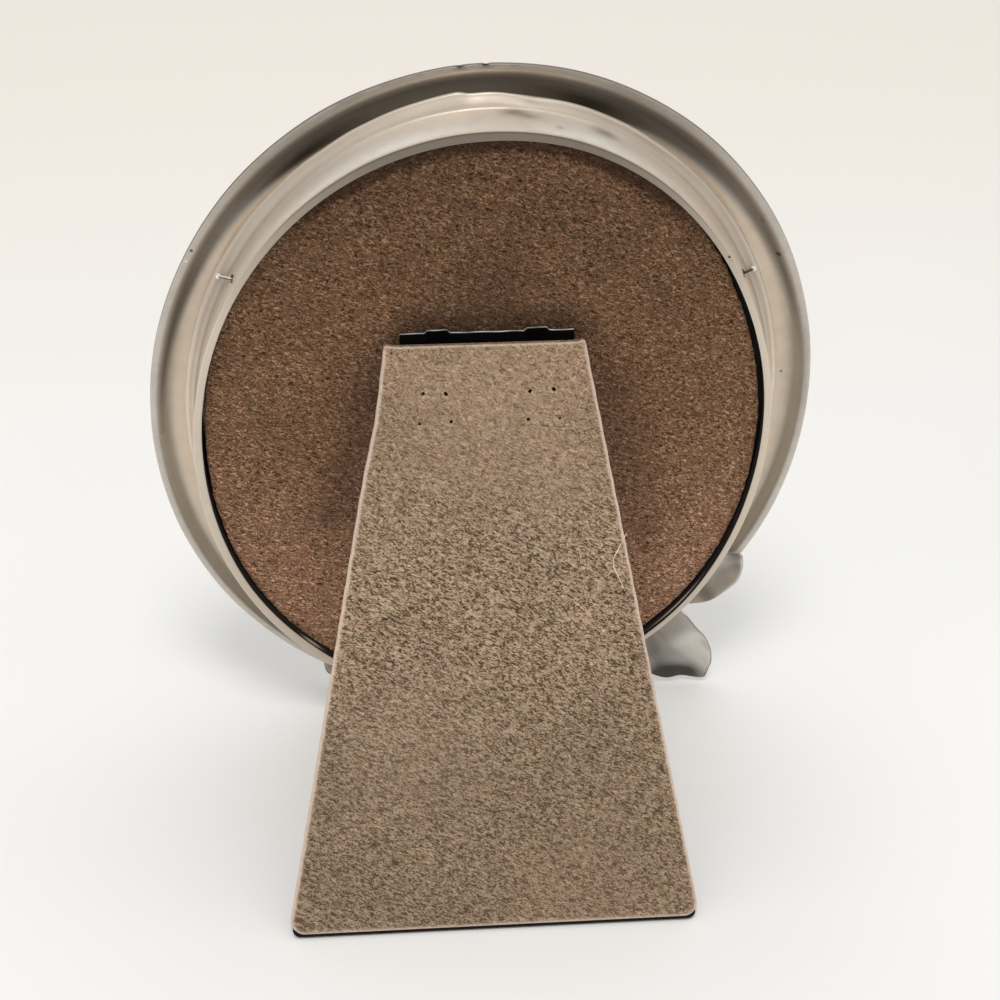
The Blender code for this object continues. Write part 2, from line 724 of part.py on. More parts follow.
def swing_sheet():
    """The swinging leaf's sheet: flat on the leg, ribbed where it runs past the pin to the stop."""
    half = HINGE_WIDTH / 2
    flat = (KNUCKLE_WIDTH - RIB_SLOPE) / 2
    stations = [-half]
    for centre in (-RIB_SPACING / 2, RIB_SPACING / 2):
        for edge in (-1, 1):
            for step in range(4):
                share = step / 3 if edge > 0 else 1 - step / 3
                stations.append(centre + edge * (flat + RIB_SLOPE * share))
    stations.append(half)
    leg_top = LEG_TOP_RISE + SEAT_GAP
    rows = [-SWING_LEAF_LENGTH, 0.0, leg_top, leg_top + (STOP_REACH - leg_top) / 2, STOP_REACH]

    def place(column, row):
        x = stations[column]
        to_rib = min(abs(x - RIB_SPACING / 2), abs(x + RIB_SPACING / 2))
        rib = 1 - eased((to_rib - flat) / RIB_SLOPE)
        run = eased((rows[row] - leg_top) / (STOP_REACH - leg_top))
        y = rows[row] + RIB_RISE * rib * run
        return Vector((x, y, (SWING_SHEET_IN + SWING_SHEET_OUT) / 2 - RIB_DEPTH * rib * run))

    return formed_sheet("hinge_swing_leaf", len(stations) - 1, len(rows) - 1, place)


def make_swing_leaf():
    """The leaf on the leg, with its knuckles, its stop flange and its prongs."""
    leaf = add_piece("hinge_swing_leaf", swing_sheet(), LEG_HOLDER, own("black_steel", "hinge_swing_leaf"))
    thicken(leaf, SHEET)
    spans = knuckle_spans()[1]
    web = SHEET / 2
    middle = (SWING_SHEET_IN + SWING_SHEET_OUT) / 2
    web_boxes = [((low, -web, middle), (high, web, SWING_SHEET_IN / 2)) for low, high in spans]
    webs = box_mesh("swing_webs", web_boxes)
    combine(leaf, add_cutter("swing_webs", webs, LEG_HOLDER), "UNION")
    barrels = cone_mesh("swing_knuckles", hinge_knuckles(spans, KNUCKLE_RADIUS), 20)
    combine(leaf, add_cutter("swing_knuckles", barrels, LEG_HOLDER), "UNION")
    points = cone_mesh("swing_prongs", prongs(middle, LEG_VELOUR_OUT), 4)
    combine(leaf, add_cutter("swing_prongs", points, LEG_HOLDER), "UNION")
    bore_radius = PIN_RADIUS + PIN_CLEARANCE
    bore = cone_mesh("swing_bore", hinge_knuckles([(-HINGE_WIDTH, HINGE_WIDTH)], bore_radius), 20)
    combine(leaf, add_cutter("swing_bore", bore, LEG_HOLDER), "DIFFERENCE")


def leg_outline(inset, top, foot, top_corner, foot_corner):
    """The leg's trapezoid, inset from the velour's outside, between two levels."""
    def half_width(level):
        share = (LEG_TOP_RISE - level) / (LEG_TOP_RISE + LEG_REACH)
        return LEG_TOP_WIDTH / 2 + (LEG_FOOT_WIDTH - LEG_TOP_WIDTH) / 2 * share - inset
    return rounded([
        (-half_width(top), top, top_corner),
        (-half_width(foot), foot, foot_corner),
        (half_width(foot), foot, foot_corner),
        (half_width(top), top, top_corner),
    ])


def make_leg():
    """The leg's board and the velour wrapped over its face, top and sides."""
    wrap = LEG_VELOUR_THICK + SEAT_GAP
    board_top = LEG_TOP_RISE - wrap
    outline = leg_outline(wrap, board_top, -LEG_REACH, LEG_TOP_CORNER, LEG_CORNER)
    board = add_piece(
        "leg_board", plate_mesh("leg_board", outline, LEG_BOARD_OUT, LEG_BOARD_IN), LEG_HOLDER,
        own("black_board", "leg_board"),
    )
    velour_foot = -LEG_REACH + LEG_BARE_EDGE
    outline = leg_outline(0.0, LEG_TOP_RISE, velour_foot, LEG_TOP_CORNER + wrap, LEG_VELOUR_CORNER)
    velour = add_piece(
        "leg_velvet", plate_mesh("leg_velvet", outline, LEG_VELOUR_OUT, LEG_BOARD_IN), LEG_HOLDER,
        own("tan_velour", "leg_velvet"),
    )
    past_foot = -LEG_REACH - LEG_FOOT_WIDTH / 4
    hollow = leg_outline(LEG_VELOUR_THICK, board_top + SEAT_GAP, past_foot, LEG_TOP_CORNER, LEG_CORNER)
    hollow_mesh = plate_mesh("leg_hollow", hollow, LEG_VELOUR_IN, LEG_BOARD_IN + LEG_BOARD_THICK)
    combine(velour, add_cutter("leg_hollow", hollow_mesh, LEG_HOLDER), "DIFFERENCE")
    past = SEAT_GAP / 2
    holes = prong_holes("leg_prong_holes", LEG_VELOUR_OUT - past, LEG_BOARD_IN + past, LEG_HOLDER, Vector())
    combine(board, holes, "DIFFERENCE")
    combine(velour, holes, "DIFFERENCE")


def build():
    """Make every piece."""
    make_rail()
    make_loop("hanging_loop_left", 1)
    make_loop("hanging_loop_right", -1)
    make_filling()
    make_blossom("blossom_large", LARGE_BLOSSOM, turns=68)
    make_blossom("blossom_small", SMALL_BLOSSOM, turns=52)
    for name, (half_width, base, tip) in LEAVES.items():
        make_leaf(name, half_width, base, tip)
    make_back_panel()
    make_swing_leaf()
    make_leg()


build()
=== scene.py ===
"""Looks of the oval easel-back picture frame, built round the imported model."""
from math import cos, exp, pi, radians, sin, sqrt, tan

import bmesh
import bpy
import numpy as np
from mathutils import Matrix, Vector


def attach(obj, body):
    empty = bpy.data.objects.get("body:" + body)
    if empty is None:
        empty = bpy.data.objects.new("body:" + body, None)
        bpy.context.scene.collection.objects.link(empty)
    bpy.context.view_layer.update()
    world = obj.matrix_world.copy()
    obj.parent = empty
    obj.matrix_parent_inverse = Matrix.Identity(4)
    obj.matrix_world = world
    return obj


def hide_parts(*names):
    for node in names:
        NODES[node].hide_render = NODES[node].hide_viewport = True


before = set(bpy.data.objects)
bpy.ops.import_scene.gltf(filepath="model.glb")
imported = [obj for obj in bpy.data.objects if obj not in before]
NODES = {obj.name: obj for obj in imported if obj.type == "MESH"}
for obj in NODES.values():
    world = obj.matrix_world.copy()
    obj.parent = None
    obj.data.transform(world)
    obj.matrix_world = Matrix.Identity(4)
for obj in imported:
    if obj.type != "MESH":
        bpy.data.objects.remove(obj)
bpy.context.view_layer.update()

# Places in a plane are in millimetres. "Outwards" is out from the well's wall.
MM = 0.001
LEAN = radians(14.0)
SPREAD = radians(33.0)
WELL_A, WELL_B = 64.0, 89.5
CENTRE = Vector((0.0, 0.024774, 0.097794))
FRAME_PLACE = Matrix.Translation(CENTRE) @ Matrix.Rotation(pi / 2 - LEAN, 4, "X")
PIN_PLACE = (
    FRAME_PLACE
    @ Matrix.Translation(Vector((1.0, 33.0, -8.6)) * MM)
    @ Matrix.Rotation(SPREAD, 4, "X")
)
WALL_REAR = -9.5
VELOUR_REAR = -7.4
LEG_REAR = -4.93
LEG_TOP, LEG_FOOT = 1.45, -135.016
PETAL_LEVEL = 4.9
EYE_LEVEL = 5.85
STATIONS = 720

# The rail's section: its edge, the inside of its rear rim, the ledge under the glass, the
# sight edge, and the start and width of its swelling front.
RAIL_EDGE = 11.7
RIM_IN = 10.5
LEDGE = 1.6
SIGHT_EDGE = -3.0
FRONT_START, FRONT_WIDTH = -1.2, 12.9

# The leg's outline: half its width at the top, how much that grows, and over what length.
LEG_HALF_TOP, LEG_GROWTH, LEG_LENGTH, LEG_START = 21.6, 26.3, 137.616, 1.8

PILE_ANGLE = 27.0       # in which the fibres of both velours lie


# ---------------------------------------------------------------- node trees

class Nodes:
    """A node tree, with short names for the nodes that the looks need."""

    def __init__(self, tree):
        self.tree = tree

    def node(self, kind, inputs=(), **settings):
        """A node with a value, or another node's output, on each input that is given."""
        made = self.tree.nodes.new("ShaderNode" + kind)
        for key, value in settings.items():
            setattr(made, key, value)
        for key, value in dict(inputs).items():
            self.feed(made.inputs[key], value)
        return made

    def feed(self, socket, value):
        if isinstance(value, bpy.types.NodeSocket):
            self.tree.links.new(value, socket)
        elif isinstance(value, tuple) and len(value) == 3 and socket.type == "RGBA":
            socket.default_value = (*value, 1.0)
        else:
            socket.default_value = value

    def ramp(self, fac, stops):
        made = self.node("ValToRGB", {"Fac": fac})
        elements = made.color_ramp.elements
        while len(elements) < len(stops):
            elements.new(0.5)
        for element, (place, colour) in zip(elements, stops):
            element.position = place
            element.color = (*colour, 1.0)
        return made.outputs["Color"]

    def maths(self, kind, first, second=0.0):
        return self.node("Math", {0: first, 1: second}, operation=kind).outputs["Value"]

    def times(self, first, second):
        return self.maths("MULTIPLY", first, second)

    def span(self, value, low, high, out_low=0.0, out_high=1.0):
        """A smooth step of a value from one range to another."""
        return self.node("MapRange", {
            "Value": value, "From Min": low, "From Max": high,
            "To Min": out_low, "To Max": out_high,
        }, interpolation_type="SMOOTHSTEP").outputs["Result"]

    def mix(self, fac, first, second, blend="MIX"):
        inputs = {0: fac, 6: first, 7: second}
        return self.node("Mix", inputs, data_type="RGBA", blend_type=blend).outputs[2]

    def tint(self, colour, mask, strength, shade):
        """A colour with a shade mixed in where a mask says."""
        return self.mix(self.times(mask, strength), colour, shade)


class Look(Nodes):
    """A material in a piece's own plane, in millimetres."""

    def __init__(self, name, place):
        self.material = bpy.data.materials.new(name)
        self.material.use_nodes = True
        super().__init__(self.material.node_tree)
        self.where = self.node("Mapping", {
            "Vector": self.node("TexCoord").outputs["Object"], "Location": place.translation,
            "Rotation": place.to_euler(), "Scale": (MM, MM, MM),
        }, vector_type="TEXTURE").outputs["Vector"]

    def squeezed(self, scale):
        """The coordinates scaled along each axis."""
        return self.node("Mapping", {"Vector": self.where, "Scale": scale}).outputs["Vector"]

    def drawn_out(self, angle, long):
        """The coordinates drawn out along one direction, for fibres that lie that way."""
        return self.node("Mapping", {
            "Vector": self.where, "Rotation": (0.0, 0.0, radians(angle)), "Scale": (long, 1.0, 1.0),
        }, vector_type="TEXTURE").outputs["Vector"]

    def axis(self, name):
        return self.node("SeparateXYZ", {0: self.where}).outputs[name]

    def noise(self, scale, detail=3.0, rough=0.55, twist=0.0, where=None):
        return self.node("TexNoise", {
            "Vector": where or self.where, "Scale": scale, "Detail": detail, "Roughness": rough,
            "Distortion": twist,
        }).outputs["Fac"]

    def cloud(self, scale, detail, rough, low, high, twist=0.0):
        """Two shades in soft clouds: each is a place on the ramp and a colour."""
        return self.ramp(self.noise(scale, detail, rough, twist), [low, high])

    def bump(self, height, distance, strength=1.0, under=None):
        inputs = {"Distance": distance, "Strength": strength, "Height": height}
        if under is not None:
            inputs["Normal"] = under
        return self.node("Bump", inputs).outputs["Normal"]

    def mask(self, name):
        """A mask painted on the mesh."""
        return self.node("Attribute", attribute_name=name).outputs["Fac"]

    def masked(self, colour, masks):
        """A colour with a shade for each painted mask: its name, shade and strength."""
        for name, shade, strength in masks:
            colour = self.tint(colour, self.mask(name), strength, shade)
        return colour

    def spot(self, middle, radius, soft=1.0):
        """1 inside a ball round a point, fading to 0 at its edge."""
        away = self.node("VectorMath", {0: self.where, 1: middle}, operation="DISTANCE")
        return self.span(away.outputs["Value"], radius * (1 - soft), radius, 1.0, 0.0)

    def spotted(self, colour, soft, spots):
        """A colour with spots: each has a middle, radius, strength and shade."""
        for middle, radius, strength, shade in spots:
            colour = self.tint(colour, self.spot(middle, radius, soft), strength, shade)
        return colour

    def pitted(self, colour, pits):
        """Spots on the metal, with their middles as degrees, outwards and level."""
        return self.spotted(colour, 0.6, [
            (tuple(round_oval(np.radians(degrees), outwards, level)), *rest)
            for (degrees, outwards, level), *rest in pits
        ])

    def finish(self, colour, rough, metal=0.0, normal=None, **more):
        shader = self.tree.nodes["Principled BSDF"]
        inputs = {"Base Color": colour, "Roughness": rough, "Metallic": metal}
        if normal is not None:
            inputs["Normal"] = normal
        for key, value in more.items():
            inputs[key.replace("_", " ")] = value
        for key, value in inputs.items():
            self.feed(shader.inputs[key], value)
        return self.material


# ---------------------------------------------------------------- camera, floor and light

def add(name, data):
    item = bpy.data.objects.new(name, data)
    bpy.context.scene.collection.objects.link(item)
    return item


def set_camera():
    """The photograph's view, fitted to its outlines."""
    azimuth, elevation, roll = (radians(angle) for angle in (4.970, 33.691, 0.755))
    target, distance = Vector((-0.006442, 0.000291, 0.060284)), 0.532848
    level = cos(elevation)
    away = Vector((sin(azimuth) * level, cos(azimuth) * level, sin(elevation)))
    right = (-away).cross(Vector((0, 0, 1))).normalized()
    up = right.cross(-away)
    axes = Matrix((cos(roll) * right + sin(roll) * up, cos(roll) * up - sin(roll) * right, away))
    lens = bpy.data.cameras.new("photo_camera")
    lens.sensor_fit = "HORIZONTAL"
    lens.sensor_width = 36.0
    lens.lens = 76.402
    lens.clip_start = 0.01
    lens.clip_end = 60.0
    camera = add("photo_camera", lens)
    camera.matrix_world = Matrix.Translation(target + away * distance) @ axes.transposed().to_4x4()
    bpy.context.scene.camera = camera


def set_floor():
    """A pale floor, with a dark patch that only reflections see."""
    grid = bmesh.new()
    bmesh.ops.create_grid(grid, x_segments=24, y_segments=24, size=12.0)
    mesh = bpy.data.meshes.new("floor")
    grid.to_mesh(mesh)
    grid.free()
    floor = add("floor", mesh)
    look = Look("floor", Matrix.Identity(4))
    near = look.cloud(
        0.004, 2.0, 0.5, (0.35, (0.845, 0.850, 0.850)), (0.65, (0.885, 0.890, 0.885)),
    )
    rearward = look.axis("Y")
    colour = look.mix(look.span(rearward, -40.0, -420.0), near, (0.880, 0.840, 0.790))
    aside = look.maths("ABSOLUTE", look.maths("ADD", look.axis("X"), 12.0))
    patch = look.times(look.span(rearward, 130.0, 220.0), look.span(aside, 165.0, 95.0))
    patch = look.times(patch, look.node("LightPath").outputs["Is Glossy Ray"])
    colour = look.mix(patch, colour, (0.08, 0.065, 0.05))
    floor.data.materials.append(look.finish(colour, 0.85, 0.0, Specular_IOR_Level=0.1))


def set_light():
    """An even pale sky and one large soft lamp."""
    world = bpy.data.worlds.new("sky")
    bpy.context.scene.world = world
    world.use_nodes = True
    world.node_tree.nodes.clear()
    sky = Nodes(world.node_tree)
    ahead = sky.node("TexCoord").outputs["Generated"]
    shades = sky.ramp(sky.node("SeparateXYZ", {0: ahead}).outputs["Z"], [
        (0.0, (0.80, 0.78, 0.75)), (0.30, (0.86, 0.84, 0.81)),
        (0.62, (0.95, 0.94, 0.92)), (1.0, (0.97, 0.96, 0.94)),
    ])
    rays = sky.node("LightPath").outputs
    dim = sky.node("MapRange", {"Value": rays["Is Glossy Ray"], "To Min": 0.86}).outputs["Result"]
    dimmed = sky.node("VectorMath", {0: shades, "Scale": dim}, operation="SCALE").outputs["Vector"]
    colour = sky.mix(rays["Is Camera Ray"], dimmed, (0.90, 0.89, 0.87))
    glow = sky.node("Background", {"Color": colour, "Strength": 1.0})
    sky.node("OutputWorld", {0: glow.outputs[0]})

    lamp = bpy.data.lights.new("key_lamp", "AREA")
    lamp.shape = "SQUARE"
    lamp.size = 0.28
    lamp.energy = 6.0
    lamp.color = (1.0, 0.98, 0.955)
    item = add("key_lamp", lamp)
    item.location = (0.06, 0.62, 1.14)
    aim = Vector((0.0, 0.03, 0.09)) - item.location
    item.rotation_euler = aim.to_track_quat("-Z", "Y").to_euler()


# ---------------------------------------------------------------- mesh helpers

def eased(value):
    """A smooth step from 0 to 1."""
    value = np.clip(value, 0.0, 1.0)
    return value * value * (3 - 2 * value)


def bell(off, width):
    return np.exp(-(off / width) ** 2)


def hump(turn, at, width):
    """A bell round one direction, both in degrees."""
    return bell((np.degrees(turn) - at + 180.0) % 360.0 - 180.0, width)


def wave(turn, seed, low, count):
    """A gentle wobble round the oval, mostly between -1 and 1."""
    draw = np.random.default_rng(seed)
    total = np.zeros_like(turn)
    for step in range(count):
        total = total + draw.normal() * np.cos((low + step) * turn + draw.uniform(0, 2 * pi))
    return total / sqrt(count)


def turns(count=STATIONS):
    return np.arange(count) * (2 * pi / count)


def round_oval(turn, outwards, level):
    """Points beside the well: round it, out from its wall and up from the rim."""
    out = np.stack([np.cos(turn) / WELL_A, np.sin(turn) / WELL_B], axis=-1)
    out = out / np.linalg.norm(out, axis=-1, keepdims=True)
    x = WELL_A * np.cos(turn) + out[..., 0] * outwards
    y = WELL_B * np.sin(turn) + out[..., 1] * outwards
    return np.stack([x, y, np.broadcast_to(level, x.shape)], axis=-1)


def grid_faces(rows, columns, wrap_rows, wrap_columns):
    faces = []
    for row in range(rows if wrap_rows else rows - 1):
        for column in range(columns if wrap_columns else columns - 1):
            here, there = row * columns, (row + 1) % rows * columns
            after = (column + 1) % columns
            faces.append((here + column, there + column, there + after, here + after))
    return faces


def capped(rows, columns):
    """Faces of a tube of rings, closed at both ends."""
    last = (rows - 1) * columns
    ends = [tuple(range(columns)), tuple(reversed(range(last, last + columns)))]
    return grid_faces(rows, columns, False, True) + ends


def make_piece(name, points, faces, place, look, body, sharp=None):
    """A piece from points in a plane, placed where the CAD has that plane."""
    mesh = bpy.data.meshes.new(name)
    points = np.asarray(points).reshape(-1, 3) * MM
    mesh.from_pydata([tuple(point) for point in points], [], faces)
    mesh.transform(place)
    work = bmesh.new()
    work.from_mesh(mesh)
    bmesh.ops.recalc_face_normals(work, faces=work.faces)
    work.to_mesh(mesh)
    work.free()
    mesh.shade_smooth()
    if sharp is not None:
        mesh.set_sharp_from_angle(angle=radians(sharp))
    piece = add(name, mesh)
    mesh.materials.append(look)
    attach(piece, body)
    return piece


def paint(piece, **masks):
    """Keep a value for each point of a mesh, by name, as a mask for its material."""
    for name, values in masks.items():
        mask = piece.data.attributes.new(name, "FLOAT", "POINT")
        mask.data.foreach_set("value", np.asarray(values, dtype=np.float32).ravel())


def arc(middle, radius, start, end, steps):
    """Points of an arc, in degrees."""
    angles = np.radians(np.linspace(start, end, steps))
    return [(middle[0] + radius * cos(a), middle[1] + radius * sin(a)) for a in angles]


def even(first, last, shares):
    """Points of a straight line, at shares of its length or at even ones without its ends."""
    if isinstance(shares, int):
        shares = np.linspace(0, 1, shares + 2)[1:-1]
    (x, y), (last_x, last_y) = first, last
    return [(x + (last_x - x) * share, y + (last_y - y) * share) for share in shares]


def tube(path, radii, sides=16):
    """Points and faces of a closed round tube through points, with a radius at each."""
    path = [Vector(point) for point in path]
    points, side = [], None
    for index, point in enumerate(path):
        ahead = path[min(index + 1, len(path) - 1)] - path[max(index - 1, 0)]
        ahead.normalize()
        if side is None:
            side = ahead.orthogonal().normalized()
        side = (side - ahead * side.dot(ahead)).normalized()
        up = ahead.cross(side)
        for turn in turns(sides):
            points.append(tuple(point + (side * cos(turn) + up * sin(turn)) * radii[index]))
    return points, capped(len(path), sides)


def joined(parts):
    """One list of points and faces from several."""
    points, faces = [], []
    for more_points, more_faces in parts:
        start = len(points)
        points.extend(tuple(point) for point in more_points)
        faces.extend(tuple(corner + start for corner in face) for face in more_faces)
    return points, faces


def grounded(piece):
    """Flatten what would pass below the floor, where the rail is ground flat."""
    for corner in piece.data.vertices:
        corner.co.z = max(corner.co.z, 0.0)


# ---------------------------------------------------------------- rail

def pewter_look(name, light, deep, rough=0.30, masks=(), metal=1.0, pits=(), dull=None):
    """Satin pewter: cloudy tone, fine casting grain, and shades from its masks, painted shade and
    light among them.
    """
    look = Look(name, FRAME_PLACE)
    colour = look.cloud(0.09, 4.0, 0.6, (0.30, deep), (0.72, light), twist=0.6)
    grain = look.span(look.noise(1.6, 3.0, 0.6), 0.35, 0.75, 0.0, 0.12)
    colour = look.masked(look.mix(grain, colour, (0.40, 0.34, 0.27)), masks)
    colour = look.pitted(colour, pits)
    rough = look.span(look.noise(0.35, 4.0, 0.65), 0.3, 0.7, rough - 0.05, rough + 0.09)
    if dull:
        rough = look.mix(look.mask(dull), rough, (0.80, 0.80, 0.80))
    normal = look.bump(look.noise(0.25, 2.0, 0.5), 0.00005, 0.4)
    normal = look.bump(look.noise(3.2, 3.0, 0.6), 0.000012, 0.6, normal)
    return look.finish(colour, rough, metal, normal)


def trough(outwards):
    """Level of the rail's hollow back: a steep flank in the lip, then a long easy rise."""
    return 1.9 * eased((RIM_IN - outwards) / 2.7) - 0.6 * eased((7.8 - outwards) / 4.1)


def front_level(share):
    """Level of the rail's front, from the bead to the edge."""
    return 3.1 - 2.5 * share + 1.8 * np.sin(pi * share)


def rail_front(x, y):
    """How far a place lies out from the well, and the level of the rail's front there."""
    size = np.hypot(x / WELL_A, y / WELL_B)
    outwards = (1 - 1 / size) * np.hypot(x, y)
    share = np.clip((outwards - FRONT_START) / FRONT_WIDTH, 0, 1)
    return outwards, front_level(share)


def merged(degrees):
    """1 where the rail's outer part is cast in one with the large blossom's petals."""
    return eased((degrees - 209.6) / 4.0) * eased((264.0 - degrees) / 5.0)


def table(turn, rows, soft=4.0):
    """Values at some directions round the oval, in degrees, joined smoothly."""
    places, values = zip(*sorted(rows))
    fine = np.arange(720) * 0.5
    read = np.interp(fine, places, values, period=360)
    weight = bell(np.arange(-40, 41) * 0.5, soft)
    wrapped = np.concatenate([read[-40:], read, read[:40]])
    smooth = np.convolve(wrapped, weight / weight.sum(), "valid")
    return np.interp(np.degrees(turn), fine, smooth, period=360)


def make_rail():
    section = arc((11.57, 0.13), 0.13, 0, -90, 5) + [(11.2, 0.0), (10.9, 0.01), (10.6, 0.02)]
    section += [(out, 0.02 + float(trough(out))) for out in np.linspace(10.4, 3.7, 34)]
    back_count = len(section)
    section += even((3.7, LEDGE), (SIGHT_EDGE, LEDGE), 4)
    section += [(-2.9, LEDGE), (SIGHT_EDGE, 1.7), (SIGHT_EDGE, 2.4)]
    section += arc((-2.1, 3.1), 0.9, 180, 14, 13)
    shares = np.linspace(0.012, 1.0, 30)
    section += [(FRONT_START + FRONT_WIDTH * share, front_level(share)) for share in shares]
    section = np.array(section)
    count = len(section)
    turn = turns()
    at = np.repeat(turn[:, None], count, axis=1)
    degrees = np.degrees(at)
    outwards, level = (np.tile(values, (STATIONS, 1)) for values in section.T)

    back = np.zeros(outwards.shape)
    back[:, :back_count] = 1.0
    outwards = outwards + eased((outwards - 9.4) / 1.6) * 0.05 * wave(at, 3, 5, 18)
    level = level + back * eased((outwards - 3.9) / 0.5) * 0.03 * wave(at, 4, 3, 12)
    dents = hump(at, 85.15, 0.42) + hump(at, 88.7, 0.5)
    corner = back * eased((outwards - 10.9) / 0.7)
    outwards = outwards - dents * corner * 0.30
    level = level + dents * corner * 0.35
    above = 0.55 + 0.45 * eased((degrees - 35.0) / 25.0) * eased((145.0 - degrees) / 25.0)
    softer = eased((RIM_IN - outwards) / 4.2) - eased((RIM_IN - outwards) / 2.7)
    level = level + back * above * 1.9 * softer
    cast = merged(degrees)
    far = np.clip(outwards - 5.0, 0, None)
    level = level + cast * 3.0 * eased(far / 6.7)
    outwards = outwards - cast * far * 0.72

    look = pewter_look(
        "rail_pewter", (0.70, 0.655, 0.60), (0.62, 0.57, 0.51), 0.42,
        # Apart from the dents, these masks hold painted shade and a painted reflection; the darkest
        # one also holds real patina.
        masks=[
            ("beige", (0.66, 0.545, 0.425), 0.85), ("steep", (0.30, 0.28, 0.215), 0.55),
            ("brow", (0.25, 0.21, 0.17), 0.42), ("tarnish", (0.078, 0.064, 0.046), 0.92),
            ("pool", (0.022, 0.016, 0.009), 0.85), ("edge", (0.05, 0.04, 0.03), 0.7),
            ("dent", (0.012, 0.009, 0.006), 0.97),
        ],
        pits=[
            ((149.4, 8.9, 0.95), 0.85, 0.85, (0.05, 0.05, 0.035)),
            ((172.0, 5.2, 1.6), 0.45, 0.9, (0.02, 0.016, 0.012)),
            ((34.3, 10.9, 0.0), 0.55, 0.8, (0.03, 0.025, 0.018)),
            ((142.6, 8.9, 0.95), 0.8, 0.35, (0.10, 0.085, 0.06)),
            ((32.3, 10.9, 0.0), 0.40, 0.9, (0.98, 0.97, 0.95)),
        ],
        dull="tarnish",
    )
    faces = grid_faces(STATIONS, count, True, True)
    points = round_oval(at, outwards, level)
    piece = make_piece("rail", points, faces, FRAME_PLACE, look, "frame", sharp=50)

    past = outwards - 4.7
    top = eased((degrees - 39.0 + 11.0 * past) / 22.0)
    top = top * eased((139.0 + 8.0 * past - degrees) / 22.0)
    crest = eased((degrees - 40.0) / 25.0) * eased((132.0 - degrees) / 22.0)
    crest = crest + 0.9 * hump(at, 171.0, 12.0)
    corners = (hump(at, 57.0, 8.0) + hump(at, 106.0, 7.0)) * eased((6.8 - outwards) / 2.0)
    plain = back * (1 - cast)
    fading = 1 - 0.30 * (hump(at, 38.0, 12.0) + hump(at, 141.0, 12.0))
    deep = eased((10.8 - outwards) / 2.3) * top * (0.84 + 0.12 * eased((8.4 - outwards) / 1.4))
    crook = 0.5 * back * hump(at, 211.3, 1.8) * eased((outwards - 5.2) / 2.5)
    low = hump(at, 22.0, 16.0) + hump(at, 172.0, 26.0)
    flank = bell(outwards - 8.8 + 0.7 * low, 1.8 + 0.7 * low) * (1 - top)
    lip = np.zeros(outwards.shape)
    lip[:, :3] = 1.0
    lip[:, -1] = 1.0
    lip[:, -6:] = np.maximum(lip[:, -6:], eased((np.sin(turn) - 0.3) / 0.4)[:, None])
    paint(
        piece,
        # painted shade, a dark reflection along the top of the trough, with real patina in its
        # hollow
        tarnish=plain * fading * np.clip(deep + 0.35 * corners, 0, 1),
        # painted shade in the corners by the seam along the top, and where the rail bends under the
        # petal
        pool=plain * corners * top + crook,
        # painted shade, a dark reflection on the flank below the lip, away from the top
        steep=plain * flank * (1 - 0.5 * hump(at, 150.0, 13.0)),
        # painted shade on the crest of the lip along the top
        brow=plain * crest * eased((outwards - 8.6) / 1.4) * eased((11.9 - outwards) / 1.2),
        # painted reflection, a warm pale tone on the trough's inner part away from the top
        beige=plain * eased((9.0 - outwards) / 3.0) * (1 - top),
        # painted shade, a dark line along the outer edge that spreads over the front's rim along
        # the top
        edge=lip,
        dent=np.clip(1.3 * dents * corner, 0, 1),
    )
    grounded(piece)
    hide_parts("frame_ring")


# ---------------------------------------------------------------- well band

# The wall's rear end lies outwards from WALL_IN to WALL_OUT, and its flange ends at SEAM.
WALL_IN = [
    (0, -0.1), (10, 0.1), (20, 0.3), (30, 0.45), (45, 0.4), (60, 0.35), (75, 0.15), (90, 0.15),
    (105, 0.6), (120, 0.4), (135, 0.0), (150, -0.4), (160, -0.4), (170, -0.4), (180, -0.4),
    (190, -0.25), (200, 0.15), (210, 0.6), (217, 0.95), (224, 1.0), (250, 0.8), (290, 0.3),
    (312, -0.25), (330, 0.1), (345, -0.05),
]
WALL_OUT = [
    (0, 2.0), (10, 1.9), (20, 1.95), (30, 2.0), (45, 2.1), (60, 2.3), (75, 2.4), (90, 2.5),
    (105, 2.5), (120, 2.0), (135, 1.3), (145, 1.0), (152, 1.0), (160, 1.15), (170, 1.25),
    (180, 1.2), (190, 1.45), (200, 1.75), (210, 2.1), (217, 2.4), (224, 2.3), (250, 2.2),
    (290, 2.2), (312, 2.2), (330, 2.0), (345, 2.1),
]
SEAM = [
    (0, 3.7), (30, 3.75), (52, 3.7), (60, 3.5), (70, 3.8), (76.8, 4.10), (81.3, 4.35),
    (83.3, 4.50), (84.4, 4.52), (85.7, 3.92), (87.0, 3.86), (89.5, 3.95), (91.2, 3.86),
    (93.7, 3.50), (97.1, 3.12), (101.4, 3.32), (105.9, 3.34), (108.7, 3.30), (114, 3.25),
    (119, 3.0), (124, 3.1), (133, 3.4), (150, 3.6), (200, 3.7), (260, 3.7), (320, 3.7),
]


